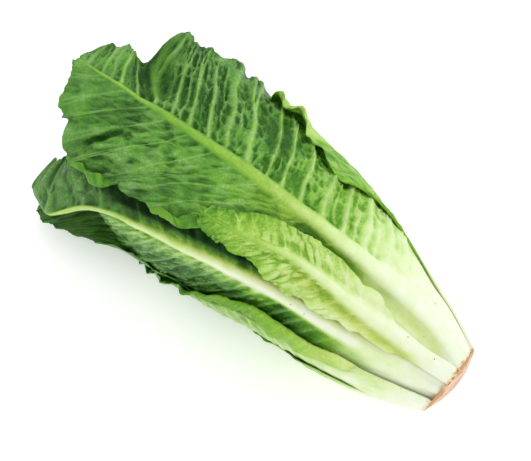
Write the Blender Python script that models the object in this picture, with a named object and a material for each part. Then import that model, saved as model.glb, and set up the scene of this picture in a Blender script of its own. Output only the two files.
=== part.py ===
"""A romaine lettuce head lying on its side: the stem core and every leaf, each one closed body.

The head lies along X. Its cut foot is at +X, its leaf tips are at -X, and the floor is z = 0.
Shapes are worked out in head coordinates: the distance from the cut along the axis, the angle
round the axis (0 at the top, growing towards -Y) and the radius. Older leaves lie outside
younger ones, so each leaf has its own layer and no two leaves meet.
"""
from dataclasses import dataclass

import bpy
import numpy as np

MM = 0.001

# ---- The head's envelope (mm), against the distance from the cut ----
HALF_LENGTH = 145.0
OUTER_RADIUS = ((0, 23), (18, 31), (37, 38), (57, 44.5), (84, 51.5), (110, 57), (140, 60.5),
                (180, 62), (220, 61), (255, 57), (300, 48))
AXIS_HEIGHT = ((0, 23), (25, 29), (57, 37), (100, 44.5), (140, 47), (200, 47.5), (300, 45))
AXIS_SIDE = ((0, -2.2), (20, -2.6), (45, -4.2), (65, -3.2), (85, -1.2), (110, 0), (300, 0))
LAYER_STEP = ((0, 1.2), (30, 1.5), (60, 1.8), (100, 2.2), (140, 2.4), (300, 2.4))
CORE_RADIUS = ((0, 14), (20, 12.8), (45, 9), (66, 5), (80, 1.5))
CORE_LENGTH = 80.0
WIDTH_SCALE = 1.06
HEIGHT_SCALE = 0.93
BULGE = ((0, 0), (110, 0), (140, 2), (165, 4.2), (190, 7.5), (205, 8), (225, 5), (250, 3), (300, 2))
BULGE_ANGLE = 110.0
BULGE_SPREAD = 45.0
CUT_HEIGHT = 23.0
CUT_SLOPE = 0.14
CUT_SLOPE_REACH = 40.0
FLAT_EDGE = 0.004

# ---- Leaf tissue (mm) ----
BLADE_THICKNESS = 0.8
STALK_LENGTH = 60.0
RIB_HALF_WIDTH = 9.0
CORE_CLEARANCE = 1.7
FLOOR_CLEARANCE = 0.7
FLOOR_LAYER_STEP = 1.3
FLOOR_BLEND = 2.0
FLOOR_STACK = ((0, 1), (205, 1), (235, 0), (300, 0))
LEAST_HALF_WIDTH = 2.5
TIP_ROUNDING = 9
VEIN_RISE = 0.14
VEIN_BEND = 1.2
FOOT_CROWDING = 1.25
LIFT_FALL = 1.5
FLARE_RISE = 2.5
TUCK_TURN = 0.75
TUCK_SINK = 0.4
LEAST_GROWTH = 0.15

# ---- The young leaves inside the head ----
YOUNG_LEAVES = 17
FIRST_YOUNG_LAYER = 4
FIRST_YOUNG_ANGLE = -75.0
GOLDEN_ANGLE = 137.5
LONGEST_YOUNG_REACH = 236.0
SHORTEST_YOUNG_REACH = 150.0
YOUNG_MIDDLE = 140.0
YOUNG_HALF_WIDTH_LIMIT = 50.0
YOUNG_RIB_HEIGHT = 0.4

# ---- Mesh fineness ----
OLD_ROWS, OLD_HALF_COLUMNS = 16, 5
YOUNG_ROWS, YOUNG_HALF_COLUMNS = 9, 4
CORE_SIDES, CORE_RINGS = 20, 8

WHITE = (0.86, 0.89, 0.72, 1.0)
LIME = (0.42, 0.62, 0.13, 1.0)
GREEN = (0.13, 0.33, 0.06, 1.0)


@dataclass(frozen=True)
class Leaf:
    """One leaf. Point lists run over the share of its length; lengths in mm, angles in degrees.

    `low` and `high` are the half widths towards smaller and larger angles, closing in on
    `tip_half_width` at the tip, and the flares push each margin outwards. `rib_lift` pushes the
    midrib outwards, `rib_height` is its bulge, and `tuck` turns the high half in under the leaf.
    """
    name: str
    layer: float
    reach: float
    angle: tuple
    low: tuple
    high: tuple
    colour: tuple = GREEN
    rib_height: float = 0.8
    rib_lift: tuple = ((0, 0), (1, 0))
    low_flare: tuple = ((0, 0), (1, 0))
    high_flare: tuple = ((0, 0), (1, 0))
    tuck: tuple = ((0, 0), (1, 0))
    tip_half_width: float = LEAST_HALF_WIDTH


OLD_LEAVES = (
    Leaf("leaf_under", 0, 205,
         angle=((0, 160), (1, 158)),
         low=((0, 15), (0.1, 28), (0.17, 37), (0.25, 48), (0.34, 51), (0.42, 45), (0.5, 37),
              (0.8, 30), (1, 20)),
         high=((0, 13), (0.15, 28), (0.38, 42), (0.6, 46), (0.8, 42), (1, 28)),
         colour=LIME, rib_height=1.0),
    Leaf("leaf_crown", 0, 164,
         angle=((0, 15), (0.21, 16), (0.32, 18.5), (0.42, 20.9), (0.53, 22.6), (0.63, 24.5),
                (0.74, 28.2), (0.9, 33), (1, 35)),
         low=((0, 5), (0.1, 2.1), (0.19, 1.9), (0.29, 6.2), (0.36, 10.5), (0.42, 9.4), (0.51, 11.4),
              (0.63, 11.5), (0.77, 13.9), (0.88, 10.1), (0.95, 9.6), (1, 4)),
         high=((0, 1), (0.1, 3.4), (0.23, 8.4), (0.32, 8.6), (0.45, 13.7), (0.59, 17.2), (0.68, 16.4),
               (0.76, 10.6), (0.88, 9.9), (1, 4)),
         colour=LIME, rib_height=2.0),
    Leaf("leaf_back", 1, 240,
         angle=((0, -100), (0.3, -95), (1, -96)),
         low=((0, 13), (0.2, 32), (0.4, 48), (0.6, 54), (0.8, 50), (1, 30)),
         high=((0, 9), (0.25, 14), (0.34, 24), (0.4, 36), (0.44, 46), (0.48, 59), (0.52, 58),
               (0.6, 48.5), (0.67, 41), (0.76, 43), (0.8, 24), (0.85, 18), (1, 10)),
         rib_height=2.2,
         high_flare=((0, 0), (0.64, 1), (0.7, 7), (0.77, 10), (0.82, 4), (1, 2))),
    Leaf("leaf_near", 1, 198,
         angle=((0, 108), (0.3, 121), (0.6, 125), (1, 125)),
         low=((0, 15), (0.08, 22.6), (0.16, 30.2), (0.24, 38), (0.32, 42.7), (0.4, 43.3), (0.48, 48),
              (0.58, 52.4), (0.68, 47.8), (0.76, 37.5), (0.82, 28), (0.9, 22), (1, 12)),
         high=((0, 12), (0.2, 28), (0.4, 42), (0.6, 46), (0.8, 42), (1, 20)),
         colour=LIME, rib_height=0.3),
    Leaf("leaf_long", 2, 293,
         angle=((0, -21), (0.1, -19), (0.15, -16), (0.2, -11.5), (0.25, -6.8), (0.3, -2.8),
                (0.36, -0.3), (0.45, 1.3), (0.55, 1.9), (0.65, 3.2), (0.75, 4.6), (0.85, 5.2),
                (1, 6)),
         low=((0, 17), (0.1, 31), (0.2, 47), (0.35, 64), (0.5, 70.4), (0.62, 72.3), (0.68, 62.1),
              (0.74, 52.1), (0.8, 49), (0.86, 54), (0.9, 38), (0.94, 45.3), (1, 40)),
         high=((0, 15), (0.1, 21), (0.2, 25.4), (0.35, 30.5), (0.54, 31.2), (0.6, 44.2), (0.7, 44.6),
               (0.76, 44.8), (0.82, 55.8), (0.88, 57.3), (0.92, 42), (0.96, 46), (1, 8)),
         rib_height=3.0,
         low_flare=((0, 0), (0.55, 1), (0.68, 7), (0.78, 13), (0.86, 13), (0.9, 3), (1, 0)),
         high_flare=((0, 0), (0.45, 1), (0.6, 6), (0.75, 8), (0.88, 8), (0.93, 4), (1, 2))),
    Leaf("leaf_floor", 2, 290,
         angle=((0, 160), (0.6, 156), (1, 150)),
         low=((0, 12), (0.2, 28), (0.4, 42), (0.5, 48), (0.6, 53), (0.7, 54), (0.8, 50), (0.93, 46),
              (1, 26)),
         high=((0, 12), (0.2, 28), (0.4, 42), (0.6, 48), (0.8, 46), (0.93, 38), (1, 22)),
         rib_height=0.4,
         low_flare=((0, 0), (0.67, 0), (0.8, 16), (0.92, 29), (1, 30))),
    Leaf("leaf_keeled", 3, 278,
         angle=((0, 38), (0.05, 39.5), (0.15, 41), (0.2, 42.9), (0.25, 45.9), (0.3, 49.3),
                (0.4, 53.3), (0.5, 58.5), (0.6, 64.4), (0.7, 70), (0.75, 72.8), (0.8, 77.9),
                (0.85, 85.2), (0.9, 96), (0.95, 104), (1, 105)),
         low=((0, 13), (0.2, 28), (0.4, 42), (0.6, 45), (0.8, 42), (0.88, 33.5), (0.935, 25.4),
              (0.96, 17.7), (1, 13)),
         high=((0, 0.8), (0.08, 4.4), (0.14, 8.8), (0.2, 17.2), (0.25, 29.7), (0.3, 37), (0.36, 41),
               (0.55, 42), (0.7, 38.4), (0.82, 28.4), (1, 15)),
         rib_height=2.0,
         rib_lift=((0, 0), (0.6, 0), (0.74, 2), (0.82, 7), (0.88, 17), (0.94, 25), (1, 23)),
         low_flare=((0, 0), (0.7, 0), (0.85, -4), (1, -4)),
         tuck=((0, 0), (0.79, 0), (0.9, 1), (1, 1)),
         tip_half_width=13),
)


def curve(points, at):
    """Smooth curve through (x, y) points that never swings past them.

    Cubic between points; the slope at a point is the harmonic mean of the slopes beside it, and
    zero where the points turn back.
    """
    xs, ys = np.array(points, float).T
    steps = np.diff(xs)
    rises = np.diff(ys) / steps
    together = rises[:-1] * rises[1:]
    total = np.where(together > 0, rises[:-1] + rises[1:], 1.0)
    inner = np.where(together > 0, 2 * together / total, 0.0)
    slopes = np.concatenate((rises[:1], inner, rises[-1:]))
    at = np.clip(at, xs[0], xs[-1])
    k = np.clip(np.searchsorted(xs, at, side="right") - 1, 0, len(steps) - 1)
    t = (at - xs[k]) / steps[k]
    rise_part = (t ** 3 - 2 * t ** 2 + t) * slopes[k] + (t ** 3 - t ** 2) * slopes[k + 1]
    blend = t * t * (3 - 2 * t)
    return ys[k] + (ys[k + 1] - ys[k]) * blend + rise_part * steps[k]


def layer_radius(layer, along):
    """Radius of a layer of leaves at a distance from the cut."""
    return curve(OUTER_RADIUS, along) - layer * curve(LAYER_STEP, along)


def place(along, angle, radius, floor=None):
    """Head coordinates (mm, radians) to x, y, z (mm), bulging at one side and flat underneath."""
    aside = (np.degrees(angle) - BULGE_ANGLE + 180) % 360 - 180
    radius = radius + curve(BULGE, along) * np.exp(-(aside / BULGE_SPREAD) ** 2)
    height = curve(AXIS_HEIGHT, along)
    outer = curve(OUTER_RADIUS, along)
    down = np.maximum(-np.cos(angle), 1e-6)
    room = (height - FLOOR_CLEARANCE) / (HEIGHT_SCALE * down) / outer
    flat = 0.5 * (1 + room - np.sqrt((1 - room) ** 2 + FLAT_EDGE))
    flat = np.where(np.cos(angle) < 0, np.minimum(flat, 1.0), 1.0)
    y = curve(AXIS_SIDE, along) - radius * flat * np.sin(angle) * WIDTH_SCALE
    z = height + radius * flat * np.cos(angle) * HEIGHT_SCALE
    if floor is not None:
        z = floor + 0.5 * (z - floor + np.sqrt((z - floor) ** 2 + FLOOR_BLEND ** 2))
    tilt = (z - CUT_HEIGHT) * CUT_SLOPE * np.exp(-along / CUT_SLOPE_REACH)
    return np.stack((HALF_LENGTH - along + tilt, y, z), axis=-1)


def leaf_start(layer):
    """Distance from the cut at which a layer clears the core."""
    along = np.linspace(0.0, CORE_LENGTH, 400)
    clear = layer_radius(layer, along) >= curve(CORE_RADIUS, along) + CORE_CLEARANCE
    return float(along[np.argmax(clear)])


def leaf_surface(leaf, rows, half_columns):
    """Middle surface of a leaf as a (rows, columns, 3) array.

    Rows run from the midrib up to each margin like the side veins do, so their ends climb the
    leaf faster than the midrib in the middle of the leaf and meet it again at the foot and tip.
    """
    start = leaf_start(leaf.layer)
    length = leaf.reach - start
    u = np.linspace(0.0, 1.0, rows)[:, None] ** FOOT_CROWDING
    v = np.linspace(-1.0, 1.0, 2 * half_columns + 1)[None, :]
    side = np.abs(v)
    margin_share = u + 4 * VEIN_RISE * u * (1 - u)
    share = u + (margin_share - u) * side ** VEIN_BEND
    round_off = np.sqrt(np.clip(1 - margin_share ** TIP_ROUNDING, 0, 1))
    half = np.where(v < 0, curve(leaf.low, margin_share), curve(leaf.high, margin_share))
    half = (half + LEAST_HALF_WIDTH) * round_off + leaf.tip_half_width * (1 - round_off)
    across = v * half
    along = start + share * length
    base = layer_radius(leaf.layer, along)
    rib = np.exp(-(across / RIB_HALF_WIDTH) ** 2)
    growth = np.clip(along / STALK_LENGTH, LEAST_GROWTH, 1.0) * (1 - share ** 3)
    lift = curve(leaf.rib_lift, share) * (1 - side ** LIFT_FALL) + leaf.rib_height * rib * growth
    flare = np.where(v < 0, curve(leaf.low_flare, share), curve(leaf.high_flare, share))
    tuck = curve(leaf.tuck, share) * (v > 0)
    turn = across * (1 - TUCK_TURN * tuck) / base
    radius = base + lift * (1 - tuck * side) + flare * side ** FLARE_RISE
    radius = radius - TUCK_SINK * tuck * across
    angle = np.radians(curve(leaf.angle, share)) + turn
    stacked = leaf.layer * FLOOR_LAYER_STEP * curve(FLOOR_STACK, along)
    floor = FLOOR_CLEARANCE - FLOOR_BLEND / 2 + stacked
    return place(along, angle, radius, floor)


def grid_normals(points):
    """Unit normals of a grid surface, pointing away from the head's axis."""
    down = np.gradient(points, axis=0)
    over = np.gradient(points, axis=1)
    normals = np.cross(down, over)
    normals /= np.linalg.norm(normals, axis=-1, keepdims=True)
    return normals


def sheet_mesh(points):
    """Vertices and faces of a grid surface given the blade's thickness, closed round its edge."""
    rows, columns = points.shape[:2]
    offset = grid_normals(points) * 0.5 * BLADE_THICKNESS
    outer, inner = (points + offset).reshape(-1, 3), (points - offset).reshape(-1, 3)
    index = np.arange(rows * columns).reshape(rows, columns)
    quads = np.stack((index[:-1, :-1], index[1:, :-1], index[1:, 1:], index[:-1, 1:]), axis=-1)
    quads = quads.reshape(-1, 4)
    rim = np.concatenate((index[0, :], index[1:, -1], index[-1, -2::-1], index[-2:0:-1, 0]))
    after = np.roll(rim, -1)
    under = rows * columns
    band = np.stack((rim, after, after + under, rim + under), axis=-1)
    return np.concatenate((outer, inner)), np.concatenate((quads, quads[:, ::-1] + under, band))


def core_mesh():
    """Vertices and faces of the stem core: rings along the axis closed at the cut and the tip."""
    rings = np.linspace(0.0, CORE_LENGTH, CORE_RINGS)[:, None]
    turn = np.linspace(0.0, 2 * np.pi, CORE_SIDES, endpoint=False)[None, :]
    rings, turn = np.broadcast_arrays(rings, turn)
    points = place(rings, turn, curve(CORE_RADIUS, rings))
    index = np.arange(CORE_RINGS * CORE_SIDES).reshape(CORE_RINGS, CORE_SIDES)
    after = np.roll(index, -1, axis=1)
    sides = np.stack((index[:-1], index[1:], after[1:], after[:-1]), axis=-1).reshape(-1, 4)
    return points.reshape(-1, 3), [*sides, index[0], index[-1, ::-1]]


def young_leaves():
    """The leaves inside the head, one layer each, set round the axis by the golden angle."""
    leaves = []
    for number in range(YOUNG_LEAVES):
        age = number / (YOUNG_LEAVES - 1)
        layer = FIRST_YOUNG_LAYER + number
        middle = float(layer_radius(layer, YOUNG_MIDDLE))
        half = min(YOUNG_HALF_WIDTH_LIMIT, 12.0 + 0.85 * middle)
        width = ((0, 9 + 4 * (1 - age)), (0.25, 0.62 * half), (0.5, 0.95 * half),
                 (0.75, half), (0.92, 0.85 * half), (1, 0.5 * half))
        angle = FIRST_YOUNG_ANGLE + GOLDEN_ANGLE * number
        reach = LONGEST_YOUNG_REACH + (SHORTEST_YOUNG_REACH - LONGEST_YOUNG_REACH) * age ** 1.3
        colour = tuple(a + (b - a) * age for a, b in zip(GREEN, LIME))
        leaves.append(Leaf(f"leaf_young_{number + 1:02d}", layer, reach,
                           angle=((0, angle), (1, angle)), low=width, high=width,
                           colour=colour, rib_height=YOUNG_RIB_HEIGHT))
    return leaves


def add_piece(name, vertices, faces, colour):
    """Make one named body with its own material from vertices in mm."""
    mesh = bpy.data.meshes.new(name)
    mesh.from_pydata((vertices * MM).tolist(), [], [list(map(int, face)) for face in faces])
    mesh.update()
    material = bpy.data.materials.new(name)
    material.use_nodes = True
    shader = material.node_tree.nodes["Principled BSDF"]
    shader.inputs["Base Color"].default_value = colour
    shader.inputs["Roughness"].default_value = 0.5
    mesh.materials.append(material)
    piece = bpy.data.objects.new(name, mesh)
    bpy.context.scene.collection.objects.link(piece)


def build_bodies():
    """Every body of the head as a list of (name, vertices, faces, colour)."""
    bodies = [("core", *core_mesh(), WHITE)]
    for leaf in OLD_LEAVES:
        surface = leaf_surface(leaf, OLD_ROWS, OLD_HALF_COLUMNS)
        bodies.append((leaf.name, *sheet_mesh(surface), leaf.colour))
    for leaf in young_leaves():
        surface = leaf_surface(leaf, YOUNG_ROWS, YOUNG_HALF_COLUMNS)
        bodies.append((leaf.name, *sheet_mesh(surface), leaf.colour))
    return bodies


def main():
    """Clear the scene and build the head, centred over the origin and standing on z = 0."""
    for old in list(bpy.data.objects):
        bpy.data.objects.remove(old, do_unlink=True)
    bodies = build_bodies()
    everything = np.concatenate([vertices for _, vertices, _, _ in bodies])
    lowest, highest = everything.min(axis=0), everything.max(axis=0)
    foot = np.array(((lowest[0] + highest[0]) / 2, (lowest[1] + highest[1]) / 2, lowest[2]))
    for name, vertices, faces, colour in bodies:
        add_piece(name, vertices - foot, faces, colour)


main()
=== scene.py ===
"""Looks of a romaine lettuce head lying on its side, built leaf by leaf round its stem core.

The head lies along X: the cut foot is at +X, the leaf tips are at -X and the surface it lies on
is z = 0. Leaves are worked out in head coordinates, which are the distance from the cut along
the axis, the angle round the axis (0 at the top, growing towards -Y) and the radius. Lengths in
the leaf tables are millimetres; the meshes are in metres.
"""
import logging
import math
from dataclasses import dataclass
from enum import Enum

import bpy
import numpy as np
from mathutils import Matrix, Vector


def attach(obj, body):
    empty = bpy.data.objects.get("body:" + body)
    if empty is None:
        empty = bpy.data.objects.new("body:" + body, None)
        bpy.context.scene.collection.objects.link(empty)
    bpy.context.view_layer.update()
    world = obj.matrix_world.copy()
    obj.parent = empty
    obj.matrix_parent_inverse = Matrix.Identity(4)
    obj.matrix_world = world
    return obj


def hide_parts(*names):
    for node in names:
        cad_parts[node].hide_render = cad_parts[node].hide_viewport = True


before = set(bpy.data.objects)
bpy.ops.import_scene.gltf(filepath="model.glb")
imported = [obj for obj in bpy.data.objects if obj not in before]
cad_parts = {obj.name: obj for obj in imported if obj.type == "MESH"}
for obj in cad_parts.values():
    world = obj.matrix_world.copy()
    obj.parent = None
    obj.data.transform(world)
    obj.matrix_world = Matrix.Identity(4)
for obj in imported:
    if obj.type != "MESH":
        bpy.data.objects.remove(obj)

LOG = logging.getLogger("romaine")
MM = 0.001
BODY = "root"
Array = np.ndarray
Colour = tuple[float, float, float]
Points = tuple[tuple[float, float], ...]
Span = tuple[float, float]
FLAT: Points = ((0, 0), (1, 0))


class Slot(Enum):
    """The material slots of the head."""

    STEM = "stem"
    PALE_LEAF = "pale_leaf"
    OLD_LEAF = "old_leaf"
    YOUNG_LEAF = "young_leaf"


# ---------------------------------------------------------------- plain number helpers

def curve(points: Points, at: Array) -> Array:
    """Smooth curve through points that never swings past them.

    Cubic between points; the slope at a point is the harmonic mean of the slopes beside it, and
    zero where the points turn back.

    Args:
        points: (x, y) pairs in rising x.
        at: where to read the curve.

    Returns:
        The curve's values, held level outside the first and last point.
    """
    xs, ys = np.array(points, float).T
    steps = np.diff(xs)
    rises = np.diff(ys) / steps
    together = rises[:-1] * rises[1:]
    total = np.where(together > 0, rises[:-1] + rises[1:], 1.0)
    inner = np.where(together > 0, 2 * together / total, 0.0)
    slopes = np.concatenate((rises[:1], inner, rises[-1:]))
    at = np.clip(at, xs[0], xs[-1])
    k = np.clip(np.searchsorted(xs, at, side="right") - 1, 0, len(steps) - 1)
    t = (at - xs[k]) / steps[k]
    bend = (t ** 3 - 2 * t ** 2 + t) * slopes[k] + (t ** 3 - t ** 2) * slopes[k + 1]
    return ys[k] + (ys[k + 1] - ys[k]) * t * t * (3 - 2 * t) + bend * steps[k]


def ramp(low: float, high: float, at: Array) -> Array:
    """0 at `low`, 1 at `high`, the cubic ease 3t^2 - 2t^3 between them and level outside."""
    t = np.clip((at - low) / (high - low), 0.0, 1.0)
    return t * t * (3 - 2 * t)


def bell(away: Array, width: Array | float) -> Array:
    """Bell exp(-(away / width)^2): 1 at no distance and about a third at `width`."""
    return np.exp(-(away / width) ** 2)


def scatter(i: Array, j: Array, seed: float) -> Array:
    """Repeatable random number in 0..1 for each whole-number pair: the fraction of a big sine."""
    value = np.sin(i * 127.1 + j * 311.7 + seed * 74.7) * 43758.5453
    return value - np.floor(value)


def noise(x: Array, y: Array, seed: float) -> Array:
    """Smooth noise: random numbers at whole points, blended between them with the cubic ease.

    Args:
        x: place along the first direction, one bump to a unit.
        y: place along the second direction, one bump to a unit.
        seed: picks the pattern.

    Returns:
        Values in -1..1.
    """
    x, y = np.broadcast_arrays(np.asarray(x, float), np.asarray(y, float))
    i, j = np.floor(x), np.floor(y)
    s, t = x - i, y - j
    s, t = s * s * (3 - 2 * s), t * t * (3 - 2 * t)
    low = scatter(i, j, seed) * (1 - s) + scatter(i + 1, j, seed) * s
    high = scatter(i, j + 1, seed) * (1 - s) + scatter(i + 1, j + 1, seed) * s
    return 2 * (low * (1 - t) + high * t) - 1


def rough_noise(x: Array, y: Array, seed: float) -> Array:
    """Three octaves of smooth noise, each twice as fine and half as strong."""
    total = noise(x, y, seed) + 0.5 * noise(2 * x + 7.3, 2 * y + 1.9, seed + 1)
    return (total + 0.25 * noise(4 * x + 3.1, 4 * y + 5.7, seed + 2)) / 1.75


def soften(field: Array, reach: int) -> Array:
    """Mean over a square window, from running sums.

    Args:
        field: values on a grid.
        reach: points that the window takes in on each side of its middle.

    Returns:
        The softened values, on the same grid.
    """
    window = 2 * reach + 1
    for axis in (0, 1):
        margins = [(0, 0), (0, 0)]
        margins[axis] = (reach + 1, reach)
        total = np.moveaxis(np.cumsum(np.pad(field, margins, mode="edge"), axis=axis), axis, 0)
        field = np.moveaxis((total[window:] - total[:-window]) / window, 0, axis)
    return field


def cells(x: Array, y: Array, seed: float) -> tuple[Array, Array]:
    """Blister pattern: cells round points set at random, one in each unit square.

    Args:
        x: place along the first direction, in cells.
        y: place along the second direction, in cells.
        seed: picks the pattern.

    Returns:
        How far inside its cell each point is (second nearest centre less nearest, 0 on the
        borders), and its cell's own random number in 0..1.
    """
    i, j = np.floor(x), np.floor(y)
    nearest = np.full(x.shape, np.inf)
    second = np.full(x.shape, np.inf)
    own = np.zeros(x.shape)
    for di in (-1, 0, 1):
        for dj in (-1, 0, 1):
            px = i + di + scatter(i + di, j + dj, seed)
            py = j + dj + scatter(i + di, j + dj, seed + 11)
            away = np.hypot(x - px, y - py)
            second = np.minimum(second, np.maximum(nearest, away))
            own = np.where(away < nearest, scatter(i + di, j + dj, seed + 23), own)
            nearest = np.minimum(nearest, away)
    return second - nearest, own


# ---------------------------------------------------------------- the head's envelope

@dataclass(frozen=True)
class Envelope:
    """The layered space that the leaves fill, against the distance from the cut (mm)."""

    half_length: float = 145.0
    outer: Points = ((0, 23), (18, 31), (37, 38), (57, 44.5), (84, 51.5), (110, 57), (140, 60.5),
                     (180, 62), (220, 61), (255, 57), (300, 48))
    height: Points = ((0, 23), (25, 29), (57, 37), (100, 44.5), (140, 47), (200, 47.5), (300, 45))
    side: Points = ((0, -2.2), (20, -2.6), (45, -4.2), (65, -3.2), (85, -1.2), (110, 0), (300, 0))
    step: Points = ((0, 1.2), (30, 1.5), (60, 1.8), (100, 2.2), (140, 2.4), (300, 2.4))
    core: Points = ((0, 14), (20, 12.8), (45, 9), (66, 5), (80, 1.5))
    core_length: float = 80.0
    core_samples: int = 400
    core_clearance: float = 1.7
    stack: Points = ((0, 1), (205, 1), (235, 0), (300, 0))
    bulge: Points = ((0, 0), (110, 0), (140, 2), (165, 4.2), (190, 7.5), (205, 8), (225, 5),
                     (250, 3), (300, 2))
    bulge_angle: float = 110.0
    bulge_spread: float = 45.0
    width_scale: float = 1.06
    height_scale: float = 0.93
    flat_edge: float = 0.004
    least_down: float = 1e-6
    cut_height: float = 23.0
    cut_slope: float = 0.14
    cut_reach: float = 40.0
    floor_clearance: float = 0.7
    floor_step: float = 1.3
    floor_blend: float = 2.0
    foot: tuple[float, float, float] = (-0.055, -7.303, -0.553)

    def radius(self, layer: float, along: Array) -> Array:
        """Radius of a layer: the outer radius less one step for each layer in from it."""
        return curve(self.outer, along) - layer * curve(self.step, along)

    def start(self, layer: float) -> float:
        """Find where a layer leaves the stem core.

        Args:
            layer: layers in from the outermost one.

        Returns:
            Distance from the cut at which the layer clears the core, mm.
        """
        along = np.linspace(0.0, self.core_length, self.core_samples)
        clear = self.radius(layer, along) >= curve(self.core, along) + self.core_clearance
        return float(along[np.argmax(clear)])

    def place(self, along: Array, angle: Array, radius: Array, layer: float | None) -> Array:
        """Head coordinates to row coordinates.

        A point stands `radius` from the axis at `angle`; the near side bulges out, the lower
        half is pressed flat where the head rests, and a leaf of a known layer is held above the
        layers under it. Both limits are eased with (a + b +- sqrt((a - b)^2 + edge)) / 2.

        Args:
            along: distance from the cut, mm.
            angle: angle round the axis, radians.
            radius: distance from the axis, mm.
            layer: layers under the leaf, or None for the core.

        Returns:
            Points in mm with x, y, z in the last place.
        """
        aside = (np.degrees(angle) - self.bulge_angle + 180) % 360 - 180
        radius = radius + curve(self.bulge, along) * bell(aside, self.bulge_spread)
        height = curve(self.height, along)
        down = np.maximum(-np.cos(angle), self.least_down)
        room = (height - self.floor_clearance) / (self.height_scale * down)
        room = room / curve(self.outer, along)
        flat = (1 + room - np.sqrt((1 - room) ** 2 + self.flat_edge)) / 2
        flat = np.where(np.cos(angle) < 0, np.minimum(flat, 1.0), 1.0)
        y = curve(self.side, along) - radius * flat * np.sin(angle) * self.width_scale
        z = height + radius * flat * np.cos(angle) * self.height_scale
        if layer is not None:
            stacked = layer * self.floor_step * curve(self.stack, along)
            floor = self.floor_clearance - self.floor_blend / 2 + stacked
            z = floor + (z - floor + np.sqrt((z - floor) ** 2 + self.floor_blend ** 2)) / 2
        tilt = (z - self.cut_height) * self.cut_slope * np.exp(-along / self.cut_reach)
        return np.stack((self.half_length - along + tilt, y, z), axis=-1) - np.array(self.foot)


ENVELOPE = Envelope()


# ---------------------------------------------------------------- leaf shape and relief

@dataclass(frozen=True)
class Stroke:
    """A ridge, crease or tint along a straight line on a leaf.

    The line runs from `start` to `end`, each (distance along the leaf, distance across it) in
    mm. Across the line the weight falls off as a bell, `before` wide on the line's left and
    `after` wide on its right; `ends` is how softly it fades past the line's ends.
    """

    start: Span
    end: Span
    weight: float
    before: float
    after: float
    ends: float = 8.0

    def at(self, run: Array, across: Array) -> Array:
        """Weight at each point: weight * exp(-(gap / width)^2 - (beyond / ends)^2).

        Args:
            run: distance along the leaf, mm.
            across: distance across the leaf, mm.

        Returns:
            The weight, with `gap` the distance from the line and `beyond` that past its end.
        """
        dx, dy = self.end[0] - self.start[0], self.end[1] - self.start[1]
        length = math.hypot(dx, dy)
        t = ((run - self.start[0]) * dx + (across - self.start[1]) * dy) / length
        gap = ((across - self.start[1]) * dx - (run - self.start[0]) * dy) / length
        width = np.where(gap > 0, self.before, self.after)
        beyond = np.maximum(np.maximum(-t, t - length), 0.0)
        return self.weight * np.exp(-(gap / width) ** 2 - (beyond / self.ends) ** 2)


Strokes = tuple[Stroke, ...]


@dataclass(frozen=True)
class Veins:
    """Vein pattern on one side of the midrib, as heights and sizes in mm.

    Main side veins stand `spacing` apart on the midrib and the blade sags by `trough` between
    them; lesser veins, `minor` high, run half way between. A vein splits in two that end `fork`
    of the spacing to either side of it. The blade is puckered into cells about `cell` wide and
    `pucker` high, which sink at `outward` 0, bulge out at 1 and do both at 0.5; along the side
    veins they are `stretch` times as long. `fine` is the height of the smaller cells on them.
    """

    spacing: float = 9.0
    height: float = 0.9
    width: float = 1.0
    trough: float = 0.6
    minor: float = 0.4
    cell: float = 5.0
    pucker: float = 0.8
    outward: float = 0.5
    fine: float = 0.35
    fork: float = 0.27
    stretch: float = 1.8


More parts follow.
